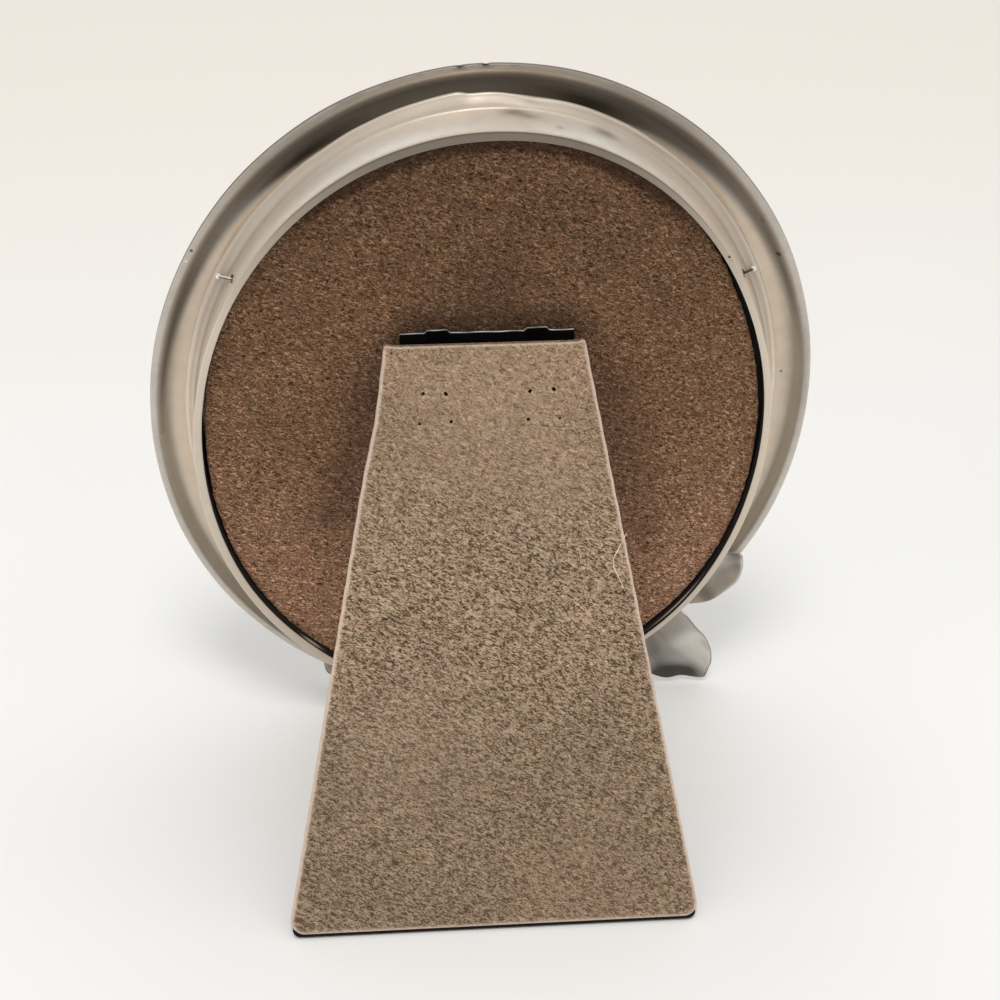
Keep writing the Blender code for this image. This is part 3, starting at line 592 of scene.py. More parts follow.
def band_section(turn, inside, outside, edge):
    """The wall from its inside round its rear end, down to its foot, and out to the seam."""
    part = [(0.0, 1.3), (0.0, -1.0), (0.0, -4.0), (0.0, -5.6), (inside * 0.5, -6.2)]
    levels = (-6.9, -7.4, -7.9, -8.25, -8.45, -8.65, -8.85, -9.1, WALL_REAR + 0.16)
    part += [(inside, level) for level in levels]
    part += arc((inside + 0.10, WALL_REAR + 0.10), 0.10, 190, 262, 4)
    part += even((inside + 0.10, WALL_REAR), (outside - 0.05, WALL_REAR), 3)
    part += arc((outside - 0.05, WALL_REAR + 0.05), 0.05, 275, 350, 4)
    foot = 1.5 + (outside - 2.0) * 0.3
    start = WALL_REAR + 0.15
    part += even((outside, start), (foot, start + 7.9), np.linspace(0.03, 0.97, 10))
    bend = [(0.02, -1.55), (0.08, -1.25), (0.20, -1.0), (0.42, -0.80)]
    part += [(foot + step, level) for step, level in bend]
    melt = 1 + 2.2 * eased((0.75 - sin(turn)) / 0.3)
    start, end = part[-1], (edge - 0.18 * melt, 0.80)
    for share in (0.2, 0.4, 0.6, 0.8):
        level = start[1] + (end[1] - start[1]) * share ** 1.25
        part.append((start[0] + (end[0] - start[0]) * share, level))
    base = float(trough(edge))
    lip = [(-0.16, 0.84), (-0.06, 0.90), (0.02, 1.02), (0.07, base - 0.08), (0.12, base + 0.12)]
    return part + [(edge + step * melt, rise) for step, rise in lip] + [(3.0, 1.5), (1.5, 1.3)]


def band_look():
    look = Look("band_metal", FRAME_PLACE)
    colour = look.ramp(look.noise(0.07, 4.0, 0.62, 0.8), [
        (0.28, (0.72, 0.60, 0.49)), (0.50, (0.76, 0.645, 0.535)), (0.74, (0.77, 0.70, 0.61)),
    ])
    streak = look.noise(0.9, 4.0, 0.6, where=look.squeezed((0.5, 0.5, 3.0)))
    colour = look.mix(look.span(streak, 0.5, 0.85, 0.0, 0.14), colour, (0.50, 0.40, 0.32))
    # Apart from the mauve stain, the dents and the darker rear end, these masks hold painted shade
    # and painted highlights.
    colour = look.masked(colour, [
        ("flange", (0.38, 0.335, 0.28), 0.62), ("glow", (0.98, 0.94, 0.87), 0.95),
        ("foot", (0.42, 0.355, 0.285), 0.45), ("mauve", (0.25, 0.175, 0.16), 0.75),
        ("root", (0.26, 0.20, 0.15), 0.65), ("seam_edge", (0.80, 0.72, 0.62), 0.6),
        ("ridge", (0.90, 0.84, 0.74), 0.8), ("end", (0.66, 0.58, 0.48), 0.6),
        ("end_top", (0.09, 0.072, 0.056), 0.72), ("lip_dark", (0.10, 0.07, 0.05), 0.75),
        ("dent", (0.03, 0.02, 0.02), 0.9), ("lining", (0.006, 0.004, 0.003), 1.0),
        ("glint", (0.75, 0.70, 0.62), 0.9),
    ])
    # Dark pits on the rear end, and painted shade for the two holes of the left loop's wire.
    ink = (0.02, 0.014, 0.012)
    colour = look.pitted(colour, [
        ((140.2, 1.0, -9.45), 0.50, 0.95, ink), ((141.0, 1.05, -9.4), 0.26, 0.7, ink),
        ((141.7, 1.05, -9.35), 0.22, 0.6, ink), ((142.4, 1.05, -9.3), 0.20, 0.5, ink),
        ((34.7, 1.95, -4.75), 0.40, 0.95, ink), ((34.4, 1.95, -5.5), 0.42, 0.95, ink),
    ])
    rough = look.span(look.noise(0.5, 4.0, 0.6), 0.3, 0.7, 0.42, 0.52)
    rough = look.mix(look.mask("lining"), rough, (0.85, 0.85, 0.85))
    metal = look.maths("SUBTRACT", 0.5, look.times(look.mask("lining"), 0.45))
    normal = look.bump(look.noise(0.22, 2.0, 0.5), 0.00006, 0.4)
    normal = look.bump(look.noise(2.6, 3.0, 0.6), 0.000012, 0.6, normal)
    return look.finish(colour, rough, metal, normal)


def make_band():
    """The well's wall with its flange, soldered to the rail with a wavy edge."""
    turn = turns()
    seam = table(turn, SEAM, 0.6) + 0.04 * wave(turn, 21, 12, 40)
    near, far = table(turn, WALL_IN), table(turn, WALL_OUT) + 0.03 * wave(turn, 31, 5, 20)
    section = np.array([band_section(*row) for row in zip(turn, near, far, seam)])
    count = section.shape[1]
    at = np.repeat(turn[:, None], count, axis=1)
    outwards, level = section[..., 0], section[..., 1]

    def stations(*ranges):
        """A mask of the section's points: first, past the last, and value."""
        values = np.zeros(at.shape)
        for first, last, value in ranges:
            values[:, first:last] = value
        return values

    wall = stations((26, 38, 1.0))
    dent = hump(at, 101.2, 0.55) * bell(level + 5.5, 0.35) * wall
    outwards = outwards - 0.30 * dent
    faces = grid_faces(STATIONS, count, True, True)
    points = round_oval(at, outwards, level)
    piece = make_piece("well_wall", points, faces, FRAME_PLACE, band_look(), "frame", sharp=45)

    high = np.sin(at)
    rearward = eased((-level - 3.0) / 5.0)
    mauve = hump(at, 93.5, 2.4) * bell(level + 2.2, 1.2)
    mauve += 0.9 * hump(at, 110.0, 2.4) * bell(level + 2.6, 1.4)
    mauve += 0.7 * hump(at, 96.0, 1.6) * bell(level + 3.4, 0.7)
    slope = eased((level + 0.9) / 0.15) * (outwards > 1.6)
    bright = 1.0 * hump(at, 71.0, 16.0) + 1.1 * hump(at, 106.0, 9.0)
    bright += 0.45 * hump(at, 54.0, 14.0) + 0.4 * hump(at, 120.0, 9.0)
    shoulders = hump(at, 38.0, 22.0) + 0.8 * hump(at, 148.0, 22.0)
    root = bell(level + 0.98, 0.30) * (outwards > 0.9) * (outwards < 2.6)
    rear_end = level < WALL_REAR + 0.06
    lining = stations((0, 14, 1.0))
    glint = hump(at, 220.0, 5.0) * bell(level + 8.35, 0.16) * lining
    glint += 0.8 * hump(at, 311.0, 2.0) * bell(level + 8.45, 0.3) * lining
    glint = np.clip(glint, 0, 1)
    sides = eased((0.85 - high) / 0.2) * (0.25 + 0.75 * hump(at, 32.0, 22.0))
    paint(
        piece,
        mauve=np.clip(mauve * wall, 0, 1),
        # painted shade: the flange darker towards the top
        flange=slope * eased((high - 0.05) / 0.5),
        # painted highlights: pale patches on the wall near the top
        glow=np.clip(bright * wall * (0.55 + 0.45 * rearward), 0, 1),
        # painted shade: the wall darker towards its foot at the upper sides
        foot=np.clip(shoulders * wall * (1 - 0.75 * rearward), 0, 1),
        # painted shade: the wall's rear end darker along the top
        end_top=rear_end * np.clip((high - 0.45) / 0.5, 0, 1),
        # painted shade in the crease at the wall's foot
        root=root * (1 - 0.20 * eased((high - 0.8) / 0.15)),
        # painted highlight along the lip at the seam, strongest along the top
        seam_edge=stations((-6, -3, 1.0)) * (0.25 + 0.75 * eased((high - 0.75) / 0.15)),
        end=rear_end,
        # painted shade: dark lines on the rear end's corners along the top
        lip_dark=stations((14, 17, 1.0), (21, 24, 0.8)) * eased((high - 0.62) / 0.25),
        # painted highlight: a pale line on the rear end's outer corner at the sides
        ridge=stations((21, 25, 1.0)) * sides,
        dent=dent,
        # painted shade: the inside of the wall made nearly black, rough and less metallic
        lining=lining * (1 - glint),
        # painted glints: thin pale lines on the dark inside of the wall
        glint=glint,
    )
    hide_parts("well_band")


# ---------------------------------------------------------------- hanging loops

def make_loops():
    """Wire loops across the corner between flange and wall, with a bead of solder outside."""
    stations, sides = 44, 20
    for name, node, side, foot_at, wall_at in [
        ("loop_left", "hanging_loop_left", 1, (31.5, 3.34, -0.25), (34.8, 1.95, -5.6)),
        ("loop_right", "hanging_loop_right", -1, (30.2, 2.96, -0.25), (33.4, 1.15, -5.75)),
    ]:
        foot = round_oval(np.radians(foot_at[0]), *foot_at[1:])
        inner = round_oval(np.radians(wall_at[0]), *wall_at[1:])
        path, radii = [], []
        for share in np.linspace(0, 1, stations):
            bow = np.array([0.0, 0.35, -0.35]) * sin(pi * share)
            point = foot + (inner - foot) * share + bow
            path.append((side * point[0], point[1], point[2]))
            bead = 0.34 * exp(-((share - 0.05) / 0.06) ** 2)
            ends = min(1.0, (0.03 + min(share, 1 - share)) / 0.08)
            radii.append((0.31 + bead) * sqrt(ends))
        points, faces = tube(path, radii, sides)
        look = Look(f"{name}_wire", FRAME_PLACE)
        colour = look.cloud(1.1, 3.0, 0.6, (0.3, (0.80, 0.76, 0.70)), (0.62, (0.97, 0.95, 0.92)))
        # painted shade on the wire, where its mask says
        under = look.mask("under")
        wire = look.finish(
            look.mix(under, colour, (0.020, 0.012, 0.010)),
            look.span(look.noise(2.0), 0.3, 0.7, 0.30, 0.40),
            look.maths("SUBTRACT", 0.30, look.times(under, 0.28)),
            look.bump(look.noise(1.8, 3.0, 0.5), 0.00004, 0.5), Specular_IOR_Level=0.12,
        )
        piece = make_piece(name, points, faces, FRAME_PLACE, wire, "frame")
        along = np.repeat(np.linspace(0, 1, stations), sides)
        above = np.array(points) - np.repeat(np.array(path), sides, axis=0)
        rise = (0.67 * above[:, 1] + 0.74 * above[:, 2]) / 0.28
        # painted shade: dark on the wire's lower side and near its wall end, and on the right loop
        # along most of its length
        dark = eased((0.15 - rise) / 0.4) + 0.9 * eased((along - 0.86) / 0.1) * (abs(rise) > 0.5)
        if side < 0:
            dark = dark + 0.95 * eased((along - 0.22) / 0.08)
        paint(piece, under=np.clip(dark * eased((along - 0.12) / 0.06), 0, 1))
        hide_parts(node)

        # Painted shade: two dark plugs stand in for the holes that the wire's end goes into.
        drop = Vector((-side * 0.45, -0.3, 0.0))
        slide = Vector((0.0, -0.25, -1.0)).normalized()
        holes = []
        for step in (-0.75, 0.75):
            spot = Vector((side * inner[0], inner[1], inner[2])) + slide * step
            holes.append(tube([spot - drop * 0.2, spot + drop * 0.4], [0.30, 0.26], 12))
        look = Look(f"{name}_flux", FRAME_PLACE)
        burnt = look.ramp(look.noise(2.0), [
            (0.35, (0.010, 0.006, 0.005)), (0.65, (0.035, 0.022, 0.018)),
        ])
        burnt = look.finish(burnt, 0.7)
        make_piece(f"{name}_flux", *joined(holes), FRAME_PLACE, burnt, "frame")


# ---------------------------------------------------------------- ornament

# Each petal: direction, length, spread, fullness, notch at its tip, and the notch's turn.
LARGE_BLOSSOM = {
    "middle": (-38.1, -72.9), "waist": 13.5, "button": 4.2,
    "petals": [
        (147.5, 36.0, 37.5, 1.14, 0.9, 0.0), (227.0, 34.8, 40.0, 1.18, 1.2, 9.0),
        (319.0, 30.0, 39.0, 1.25, 1.4, 0.0), (58.0, 30.5, 39.0, 1.25, 1.4, 0.0),
    ],
}
SMALL_BLOSSOM = {
    "middle": (14.0, -79.0), "waist": 9.0, "button": 3.2,
    "petals": [
        (-30.0, 28.5, 36.0, 1.6, 0.0, 0.0), (60.0, 22.0, 38.0, 1.25, 1.1, 0.0),
        (150.0, 21.0, 38.0, 1.25, 1.1, 0.0), (240.0, 21.5, 38.0, 1.25, 1.1, 0.0),
    ],
}

# Shade and light on the backs of the petals: middle, size and strength.
PETAL_SHADE = [
    ((-65.0, -53.2), (2.0, 2.6), 0.90), ((-66.8, -57.8), (1.5, 2.0), 0.35),
    ((-60.0, -69.2), (3.0, 2.4), 0.55), ((-63.5, -62.6), (2.2, 3.0), 0.15),
    ((-51.0, -98.0), (6.0, 5.0), 1.35), ((-57.4, -97.0), (3.8, 3.2), 0.75),
    ((-48.0, -91.0), (2.4, 3.4), 0.30), ((-51.5, -89.5), (4.0, 3.4), 0.42),
    ((-46.6, -86.0), (2.2, 3.5), 0.35), ((-61.4, -98.4), (3.0, 2.4), 0.30),
]
PETAL_LIGHT = [
    ((-56.8, -82.0), (4.0, 4.2), 0.85), ((-54.0, -78.4), (3.4, 2.0), 0.55),
    ((-58.6, -72.2), (1.8, 1.2), 0.8),
]


def petal_form(turn, blossom):
    """The blossom's reach in each direction, and how far off the petal's axis that is."""
    waist = blossom["waist"]
    reach = np.full_like(turn, waist)
    off_axis = np.full_like(turn, 1.0)
    for axis, length, spread, fullness, notch, notch_turn in blossom["petals"]:
        side = (turn - radians(axis) + pi) % (2 * pi) - pi
        off = np.abs(side) / radians(spread)
        fan = (1 - np.clip(off, 0, 1) ** fullness) ** (1 / fullness)
        dent = notch * bell(np.degrees(side) - notch_turn, 4.5)
        here = waist + (length - waist) * fan - dent
        off_axis = np.where(here > reach, off, off_axis)
        reach = np.maximum(here, reach)
    return reach, off_axis


def petal_level(x, y, share):
    """Height of a petal's middle: swelling at mid length, bent back past the rim."""
    size = np.hypot(x / (WELL_A + RAIL_EDGE), y / (WELL_B + RAIL_EDGE))
    past = eased((size - 1.0) * np.hypot(x, y) / 12.0)
    return PETAL_LEVEL + 1.6 * np.sin(pi * share) - past * PETAL_LEVEL


def both(front, back):
    """Values of a front and, in the other direction, of its back."""
    return np.concatenate([front, back[:, ::-1]], axis=1)


def make_blossom(name, blossom, node):
    columns, rings = 540, 34
    (middle_x, middle_y), button = blossom["middle"], blossom["button"]
    turn = turns(columns)
    reach, off_axis = (values[:, None] for values in petal_form(turn, blossom))
    at = turn[:, None]
    along = np.linspace(0, 1, rings)[None, :] ** 0.85
    distance = button * 0.25 + (reach - button * 0.25) * along
    x, y = middle_x + distance * np.cos(at), middle_y + distance * np.sin(at)
    middle = petal_level(x, y, np.clip((distance - button) / (reach - button), 0, 1))
    out = eased((distance - button * 1.3) / 9.0)
    to_edge = (1 - along) * reach
    veins = 0.16 * np.cos(off_axis * 8 * pi) * out * eased(to_edge / 2.5)
    groove = -0.55 * bell(off_axis, 0.10) * out
    rim = bell(to_edge, 0.9)
    ruffle = 0.28 * np.sin(at * 26 + 2 * np.sin(at * 5)) * eased(1 - to_edge / 5)
    cup = 0.75 * off_axis ** 2 * out * eased(to_edge / 1.2)
    crease = -0.9 * bell(1 - off_axis, 0.10) * out
    half = 0.55 * np.sqrt(np.clip(1 - (1 - np.clip(to_edge / 0.5, 0, 1)) ** 2, 0, 1))
    front = middle + half + veins + groove * 0.6 + cup + 0.25 * rim + ruffle + crease * 0.6
    hollow = 0.55 * np.sin(pi * np.clip(to_edge / (reach * 0.55), 0, 1)) * out
    back = middle - half + groove * 0.25 + cup * 0.8 + ruffle
    back = back - 0.38 * rim + hollow * 0.6 + crease * 0.3
    front = np.maximum(front, back + 0.30 * (to_edge > 0.01))
    outwards, cast_on = rail_front(x, y)
    seat = eased((outwards + 3.2) / 0.8) * eased((6.0 - outwards) / 1.5)
    seat = seat * eased((to_edge - 1.5) / 2.5)
    back = back + (np.minimum(back, cast_on - 0.35) - back) * seat
    loop_x, loop_y = both(x, x), both(y, y)
    points = np.stack([loop_x, loop_y, both(front, back)], axis=-1)

    look = pewter_look(
        f"{name}_pewter", (0.76, 0.73, 0.68), (0.66, 0.63, 0.58), 0.42,
        masks=[
            # On the backs of the petals, the rims, the shades, the lights and the edge line are
            # painted light and shade.
            ("valley", (0.14, 0.11, 0.09), 0.75), ("rim", (0.84, 0.80, 0.75), 0.7),
            ("shade", (0.035, 0.030, 0.025), 0.95), ("light", (0.93, 0.92, 0.88), 0.8),
            ("line", (0.03, 0.026, 0.022), 0.8),
        ],
        metal=0.7,
    )
    faces = grid_faces(columns, 2 * rings, True, True)
    piece = make_piece(name, points, faces, FRAME_PLACE, look, "frame")
    behind = both(np.zeros(x.shape), np.ones(x.shape))

    def blots(rows):
        total = 0.0
        for (x, y), (width, height), strength in rows:
            here = np.exp(-((loop_x - x) / width) ** 2 - ((loop_y - y) / height) ** 2)
            total = total + strength * behind * here
        return np.clip(total, 0, 1)

    valley = bell(off_axis, 0.07) * out + bell(1 - off_axis, 0.12) * out
    valley = np.clip(valley + 0.5 * (1 - out), 0, 1)
    # Lighter rims; on the backs this is a painted highlight.
    rims = bell(to_edge - 0.2, 0.7)
    rims = both(rims, rims * (y > -74.0))
    paint(
        piece,
        valley=both(valley, 0.25 * valley),
        rim=rims * (1 - behind * eased((loop_y + 56.0) / 2.0)),
        shade=blots(PETAL_SHADE),
        light=blots(PETAL_LIGHT),
        # painted shade: a dark line along the lower petal's edge on the back
        line=behind * bell(both(to_edge, to_edge) - 0.05, 0.22) * (loop_y < -76.5),
    )
    grounded(piece)
    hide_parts(node)
    make_button(f"{name}_eye", blossom, f"{node}_button")


def make_button(name, blossom, node):
    """The cluster of little florets in a blossom's eye."""
    radius, (middle_x, middle_y) = blossom["button"], blossom["middle"]
    wide, high = 0.86 * radius, radius * 0.56
    rings, columns, florets = 26, 96, 34

    def dome(ring, turn, level):
        x, y = middle_x + wide * ring * cos(turn), middle_y + wide * ring * sin(turn)
        return x, y, EYE_LEVEL + high * level

    points = [
        dome(sin(tilt), turn, cos(tilt))
        for tilt in np.linspace(0, pi / 2, rings) for turn in turns(columns)
    ]
    parts = [(points, grid_faces(rings, columns, False, True))]
    golden = pi * (3 - sqrt(5))
    for index in range(florets):
        level = 1 - 0.93 * (index + 0.5) / florets
        middle = Vector(dome(sqrt(1 - level * level), index * golden, level))
        bead = bmesh.new()
        bmesh.ops.create_icosphere(bead, subdivisions=2, radius=radius * 0.135)
        dots = [middle + corner.co for corner in bead.verts]
        parts.append((dots, [[corner.index for corner in face.verts] for face in bead.faces]))
        bead.free()
    look = pewter_look(f"{name}_pewter", (0.66, 0.61, 0.53), (0.40, 0.34, 0.28), 0.30)
    piece = make_piece(name, *joined(parts), FRAME_PLACE, look, "frame")
    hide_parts(node)


def make_leaf(name, base, tip, half_width):
    """A leaf with a midrib, side veins and a finely toothed edge."""
    rows, columns = 90, 33
    start, end = np.array(base), np.array(tip)
    length = np.linalg.norm(end - start)
    along = (end - start) / length
    share = 0.04 + 0.94 * np.linspace(0, 1, rows)[:, None]
    side = np.linspace(-1, 1, columns)[None, :]
    off = np.abs(side)
    width = half_width * np.sin(pi * share ** 0.8) * (1 + 0.035 * np.sin(share * 75))
    x = start[0] + along[0] * length * share - along[1] * width * side
    y = start[1] + along[1] * length * share + along[0] * width * side
    fold = 1.2 * (1 - off) * np.sin(pi * share)
    vein = 0.14 * np.cos((share * length * 1.1 - off * width * 0.9) * 2.4) * off * (1 - off ** 4)
    rib = 0.3 * bell(side * width, 0.5)
    half = 0.5 * np.sqrt(np.clip(1 - off ** 6, 0, 1))
    front = PETAL_LEVEL + fold + half + vein + rib
    back = PETAL_LEVEL + fold - half + 0.2 * vein
    seat = eased((share - 0.05) / 0.12) * eased((0.96 - share) / 0.12)
    seat = seat * eased((0.85 - off) / 0.35)
    back = back + (np.minimum(back, rail_front(x, y)[1] - 0.4) - back) * seat
    top = np.stack(np.broadcast_arrays(x, y, front), axis=-1)
    under = np.stack(np.broadcast_arrays(x, y, back), axis=-1)[:, 1:-1]
    loop = both(top, under)
    look = pewter_look(
        f"{name}_pewter", (0.58, 0.53, 0.46), (0.40, 0.35, 0.29), 0.31,
        masks=[("valley", (0.15, 0.12, 0.09), 0.6)],
    )
    faces = capped(rows, loop.shape[1])
    piece = make_piece(f"{name}_cast", loop, faces, FRAME_PLACE, look, "frame", sharp=60)
    dark = np.clip(0.5 - vein * 3.5, 0, 1) * (off < 0.95)
    paint(piece, valley=both(dark, 0.2 * dark[:, 1:-1]))
    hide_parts(name)


# ---------------------------------------------------------------- velours

def velour_look(name, place, base, light, dark, extra):
    """Short pile: fine flecks of light and dark fibres, soft clouds where the pile leans."""
    look = Look(name, place)
    fleck_at = look.drawn_out(PILE_ANGLE, 1.7)
    fleck = look.noise(1.5, 3.0, 0.62, 1.2, fleck_at)
    fine = look.noise(3.15, 2.0, 0.6, 0.8, fleck_at)
    colour = look.mix(look.span(fleck, 0.36, 0.50), dark, base)
    colour = look.mix(look.span(fleck, 0.54, 0.66, 0.0, 0.85), colour, light)
    colour = look.mix(look.span(fine, 0.57, 0.70, 0.0, 0.7), colour, light)
    colour = look.mix(look.span(fine, 0.42, 0.30, 0.0, 0.75), colour, dark)
    tone = look.cloud(0.05, 4.0, 0.6, (0.32, (0.88, 0.87, 0.88)), (0.68, (1.12, 1.11, 1.10)), 0.5)
    hue = look.cloud(0.25, 3.0, 0.6, (0.35, (0.97, 0.99, 0.96)), (0.65, (1.04, 1.0, 1.03)), 0.8)
    for tinge in (tone, hue):
        colour = look.mix(1.0, colour, tinge, "MULTIPLY")
    normal = look.bump(fine, 0.0002, 0.6, look.bump(fleck, 0.0005, 0.8))
    return look.finish(
        extra(look, colour), 0.95, 0.0, normal, Sheen_Weight=0.10, Sheen_Roughness=0.5,
        Sheen_Tint=(*light, 1.0), Specular_IOR_Level=0.15,
    )


def spine_rings(levels, rear, spine, steps):
    """Rings of points: given outlines with their levels, then blended to a middle line."""
    rings = [
        np.concatenate([edge, np.full((len(edge), 1), level)], axis=1) for edge, level in levels
    ]
    last = levels[-1][0]
    low, high = spine
    middle = np.stack([np.zeros(len(last)), np.clip(last[:, 1], low, high)], axis=1)
    for share in np.linspace(0, 1, steps + 1)[1:]:
        spot = last + (middle - last) * share
        rings.append(np.concatenate([spot, rear(*spot.T)[:, None]], axis=1))
    return np.array(rings)


def panel_marks(look, colour):
    """A pinhole, painted light that makes the pile paler lower down, and painted shade under the
    wall, round the hinge and beside the leg.
    """
    # painted light: the pile paler lower down
    fade = look.ramp(look.span(look.axis("Y"), 80.0, -75.0), [
        (0.0, (0.80, 0.78, 0.74)), (0.5, (1.35, 1.32, 1.28)), (1.0, (2.35, 2.35, 2.55)),
    ])
    colour = look.mix(1.0, colour, fade, "MULTIPLY")
    pinhole = (-43.14, -53.5, VELOUR_REAR)
    colour = look.spotted(colour, 0.6, [(pinhole, 0.55, 0.9, (0.01, 0.006, 0.004))])
    # painted shade above the hinge and beside the leg
    dark, brown = (0.016, 0.006, 0.003), (0.050, 0.018, 0.013)
    shades = [(0.0, 48.0, 17.0, 0.35, dark)]
    shades += [(x, 37.0, 11.5, 0.66, dark) for x in (-15.0, -5.0, 5.0, 15.0)]
    right = [(25.5, 16.0), (28.5, 4.0), (31.5, -8.0), (34.5, -20.0)]
    left = [(-26.0, 18.0), (-29.0, 2.0), (-33.0, -14.0), (-37.0, -30.0)]
    shades += [(x, y, 11.0, 0.42, brown) for x, y in right]
    shades += [(x, y, 14.0, 0.34, brown) for x, y in left]
    colour = look.spotted(colour, 1.0, [
        ((x, y, VELOUR_REAR), *rest) for x, y, *rest in shades
    ])
    wander = look.span(look.noise(0.6, 3.0), 0.3, 0.7, -0.10, 0.10)
    ragged = look.maths("ADD", look.mask("rim_shade"), wander)
    return look.mix(look.span(ragged, 0.25, 0.75, 0.0, 0.70), colour, (0.026, 0.011, 0.006))


VELOUR_EDGE = [
    (0, -0.85), (6, -0.7), (12, -0.35), (22, 0.3), (40, 0.6), (110, 0.6), (125, 0.2),
    (135, -0.7), (151, -1.75), (161, -1.7), (171, -1.4), (181, -1.2), (191, -0.65),
    (201, -0.25), (211, 0.1), (218, 0.3), (226, 0.05), (250, -0.1), (310, -0.2), (328, -0.25),
    (344, -0.55),
]


def make_back_velour():
    turn = turns()
    ragged = 0.07 * wave(turn, 41, 90, 60) + 0.06 * wave(turn, 42, 20, 30)
    edge_at = np.minimum(table(turn, VELOUR_EDGE) + ragged, table(turn, WALL_IN) - 0.03)
    levels = [(round_oval(turn, edge_at - inset, 0.0)[:, :2], level) for inset, level in [
        (0.10, -6.75), (0.0, -6.95), (0.02, -7.15), (0.12, -7.30), (0.30, -7.38), (0.9, -7.40),
        (2.6, -7.40), (4.4, -7.40),
    ]]
    rings = spine_rings(
        levels, lambda x, y: VELOUR_REAR + 0.05 * np.sin(x * 0.13 + 1.0) * np.cos(y * 0.11),
        (-25.5, 25.5), 46,
    )
    rows, columns = rings.shape[:2]
    under = np.concatenate([levels[0][0] * 0.985, np.full((columns, 1), -6.72)], axis=1)
    points = np.concatenate([rings.reshape(-1, 3), under])
    faces = grid_faces(rows, columns, False, True)
    start = rows * columns
    for column in range(columns):
        after = (column + 1) % columns
        faces.append((start + column, start + after, after, column))
    faces.append(tuple(range(start, start + columns)))
    look = velour_look(
        "brown_velour", FRAME_PLACE, (0.152, 0.082, 0.045), (0.46, 0.295, 0.185),
        (0.028, 0.012, 0.005), panel_marks,
    )
    piece = make_piece("back_velour", points, faces, FRAME_PLACE, look, "back_panel")
    high = np.clip(np.sin(np.tile(turn, rows + 1)), 0, 1)
    depth = np.concatenate([np.repeat(np.minimum(np.arange(rows), 12), columns), np.zeros(columns)])
    paint(piece, rim_shade=eased((8.5 - depth) / 3.2) * eased((high - 0.55) / 0.4))
    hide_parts("back_velvet")
    add_fibres("panel_fibres", "back_panel", FRAME_PLACE, 5600, 5, panel_spot, (0.33, 0.215, 0.140))


def panel_spot(draw):
    """A random place on the back's velour."""
    while True:
        x, y = draw.uniform(-61, 61), draw.uniform(-87, 87)
        reach = 87 if y < 0 else 80
        if (x / 60.5) ** 2 + (y / reach) ** 2 < 1:
            return x, y, VELOUR_REAR - 0.02


def leg_half_width(level):
    return LEG_HALF_TOP + LEG_GROWTH * (LEG_START - level) / LEG_LENGTH


def leg_spot(draw):
    """A random place on the leg's velour."""
    y = draw.uniform(-134, 1.0)
    return draw.uniform(-1, 1) * (leg_half_width(y) - 1.2), y, LEG_REAR + 0.01


def add_fibres(name, body, place, count, seed, spot, shade):
    """Single fibres that stand out of the pile, each a thin bent sliver."""
    draw = np.random.default_rng(seed)
    faces = [
        (low + first, low + second, low + second + 3, low + first + 3)
        for low in (0, 3, 6) for first, second in ((0, 2), (2, 1), (1, 0))
    ]
    parts = []
    for _ in range(count):
        x, y, level = spot(draw)
        heading = draw.normal(0.45, 0.6)
        bend = draw.normal(0.0, 0.7)
        length = draw.uniform(0.35, 0.85)
        thick = draw.uniform(0.045, 0.075)
        points = []
        for share in (0, 1 / 3, 2 / 3, 1):
            turn = heading + bend * share
            middle_x, middle_y = x + length * share * cos(turn), y + length * share * sin(turn)
            lift = level - 0.16 * sin(pi * (0.15 + 0.7 * share))
            for reach in (-thick, thick):
                points.append((middle_x - reach * sin(turn), middle_y + reach * cos(turn), lift))
            points.append((middle_x, middle_y, lift - thick))
        parts.append((points, faces + [(0, 1, 2), (9, 11, 10)]))
    look = Look(name, place)
    low = tuple(part * 0.55 for part in shade)
    colour = look.ramp(look.noise(0.8, 2.0), [(0.35, low), (0.65, shade)])
    normal = look.bump(look.noise(4.0), 0.00002, 0.3)
    look = look.finish(colour, 0.8, 0.0, normal, Specular_IOR_Level=0.2)
    make_piece(name, *joined(parts), place, look, body)


def between(first, last, pitch=1.2):
    """Even points strictly between two points."""
    many = max(1, int((last - first).length / pitch))
    return [first + (last - first) * (step / many) for step in range(1, many)]


def round_outline(corners, steps=9):
    """An outline with round corners from (x, y, radius) corners, with even points between."""
    points = []
    count = len(corners)
    for index, (x, y, radius) in enumerate(corners):
        corner = Vector((x, y))
        before = (Vector(corners[index - 1][:2]) - corner).normalized()
        after = (Vector(corners[(index + 1) % count][:2]) - corner).normalized()
        half = before.angle(after) / 2
        middle = corner + (before + after).normalized() * radius / sin(half)
        start = corner + before * radius / tan(half) - middle
        turn = start.angle_signed(corner + after * radius / tan(half) - middle)
        bend = [
            middle + Matrix.Rotation(-turn * step / steps, 2) @ start for step in range(steps + 1)
        ]
        if points:
            points.extend(between(points[-1], bend[0]))
        points.extend(bend)
    points.extend(between(points[-1], points[0]))
    return np.array([tuple(point) for point in points])


def leg_outline(foot_corner, top_corner):
    top, foot = leg_half_width(LEG_TOP), leg_half_width(LEG_FOOT)
    edge = round_outline([
        (top, LEG_TOP, top_corner), (-top, LEG_TOP, top_corner),
        (-foot, LEG_FOOT, foot_corner), (foot, LEG_FOOT, foot_corner),
    ])
    x, y = edge[:, 0], edge[:, 1]
    edge[:, 0] -= (x > 15.0) * (0.50 * bell(y + 15.0, 9.0) - 0.20 * bell(y - 1.0, 4.0))
    edge[:, 0] += 0.05 * np.sin(y * 0.9) * (abs(x) > 15.0)
    return edge


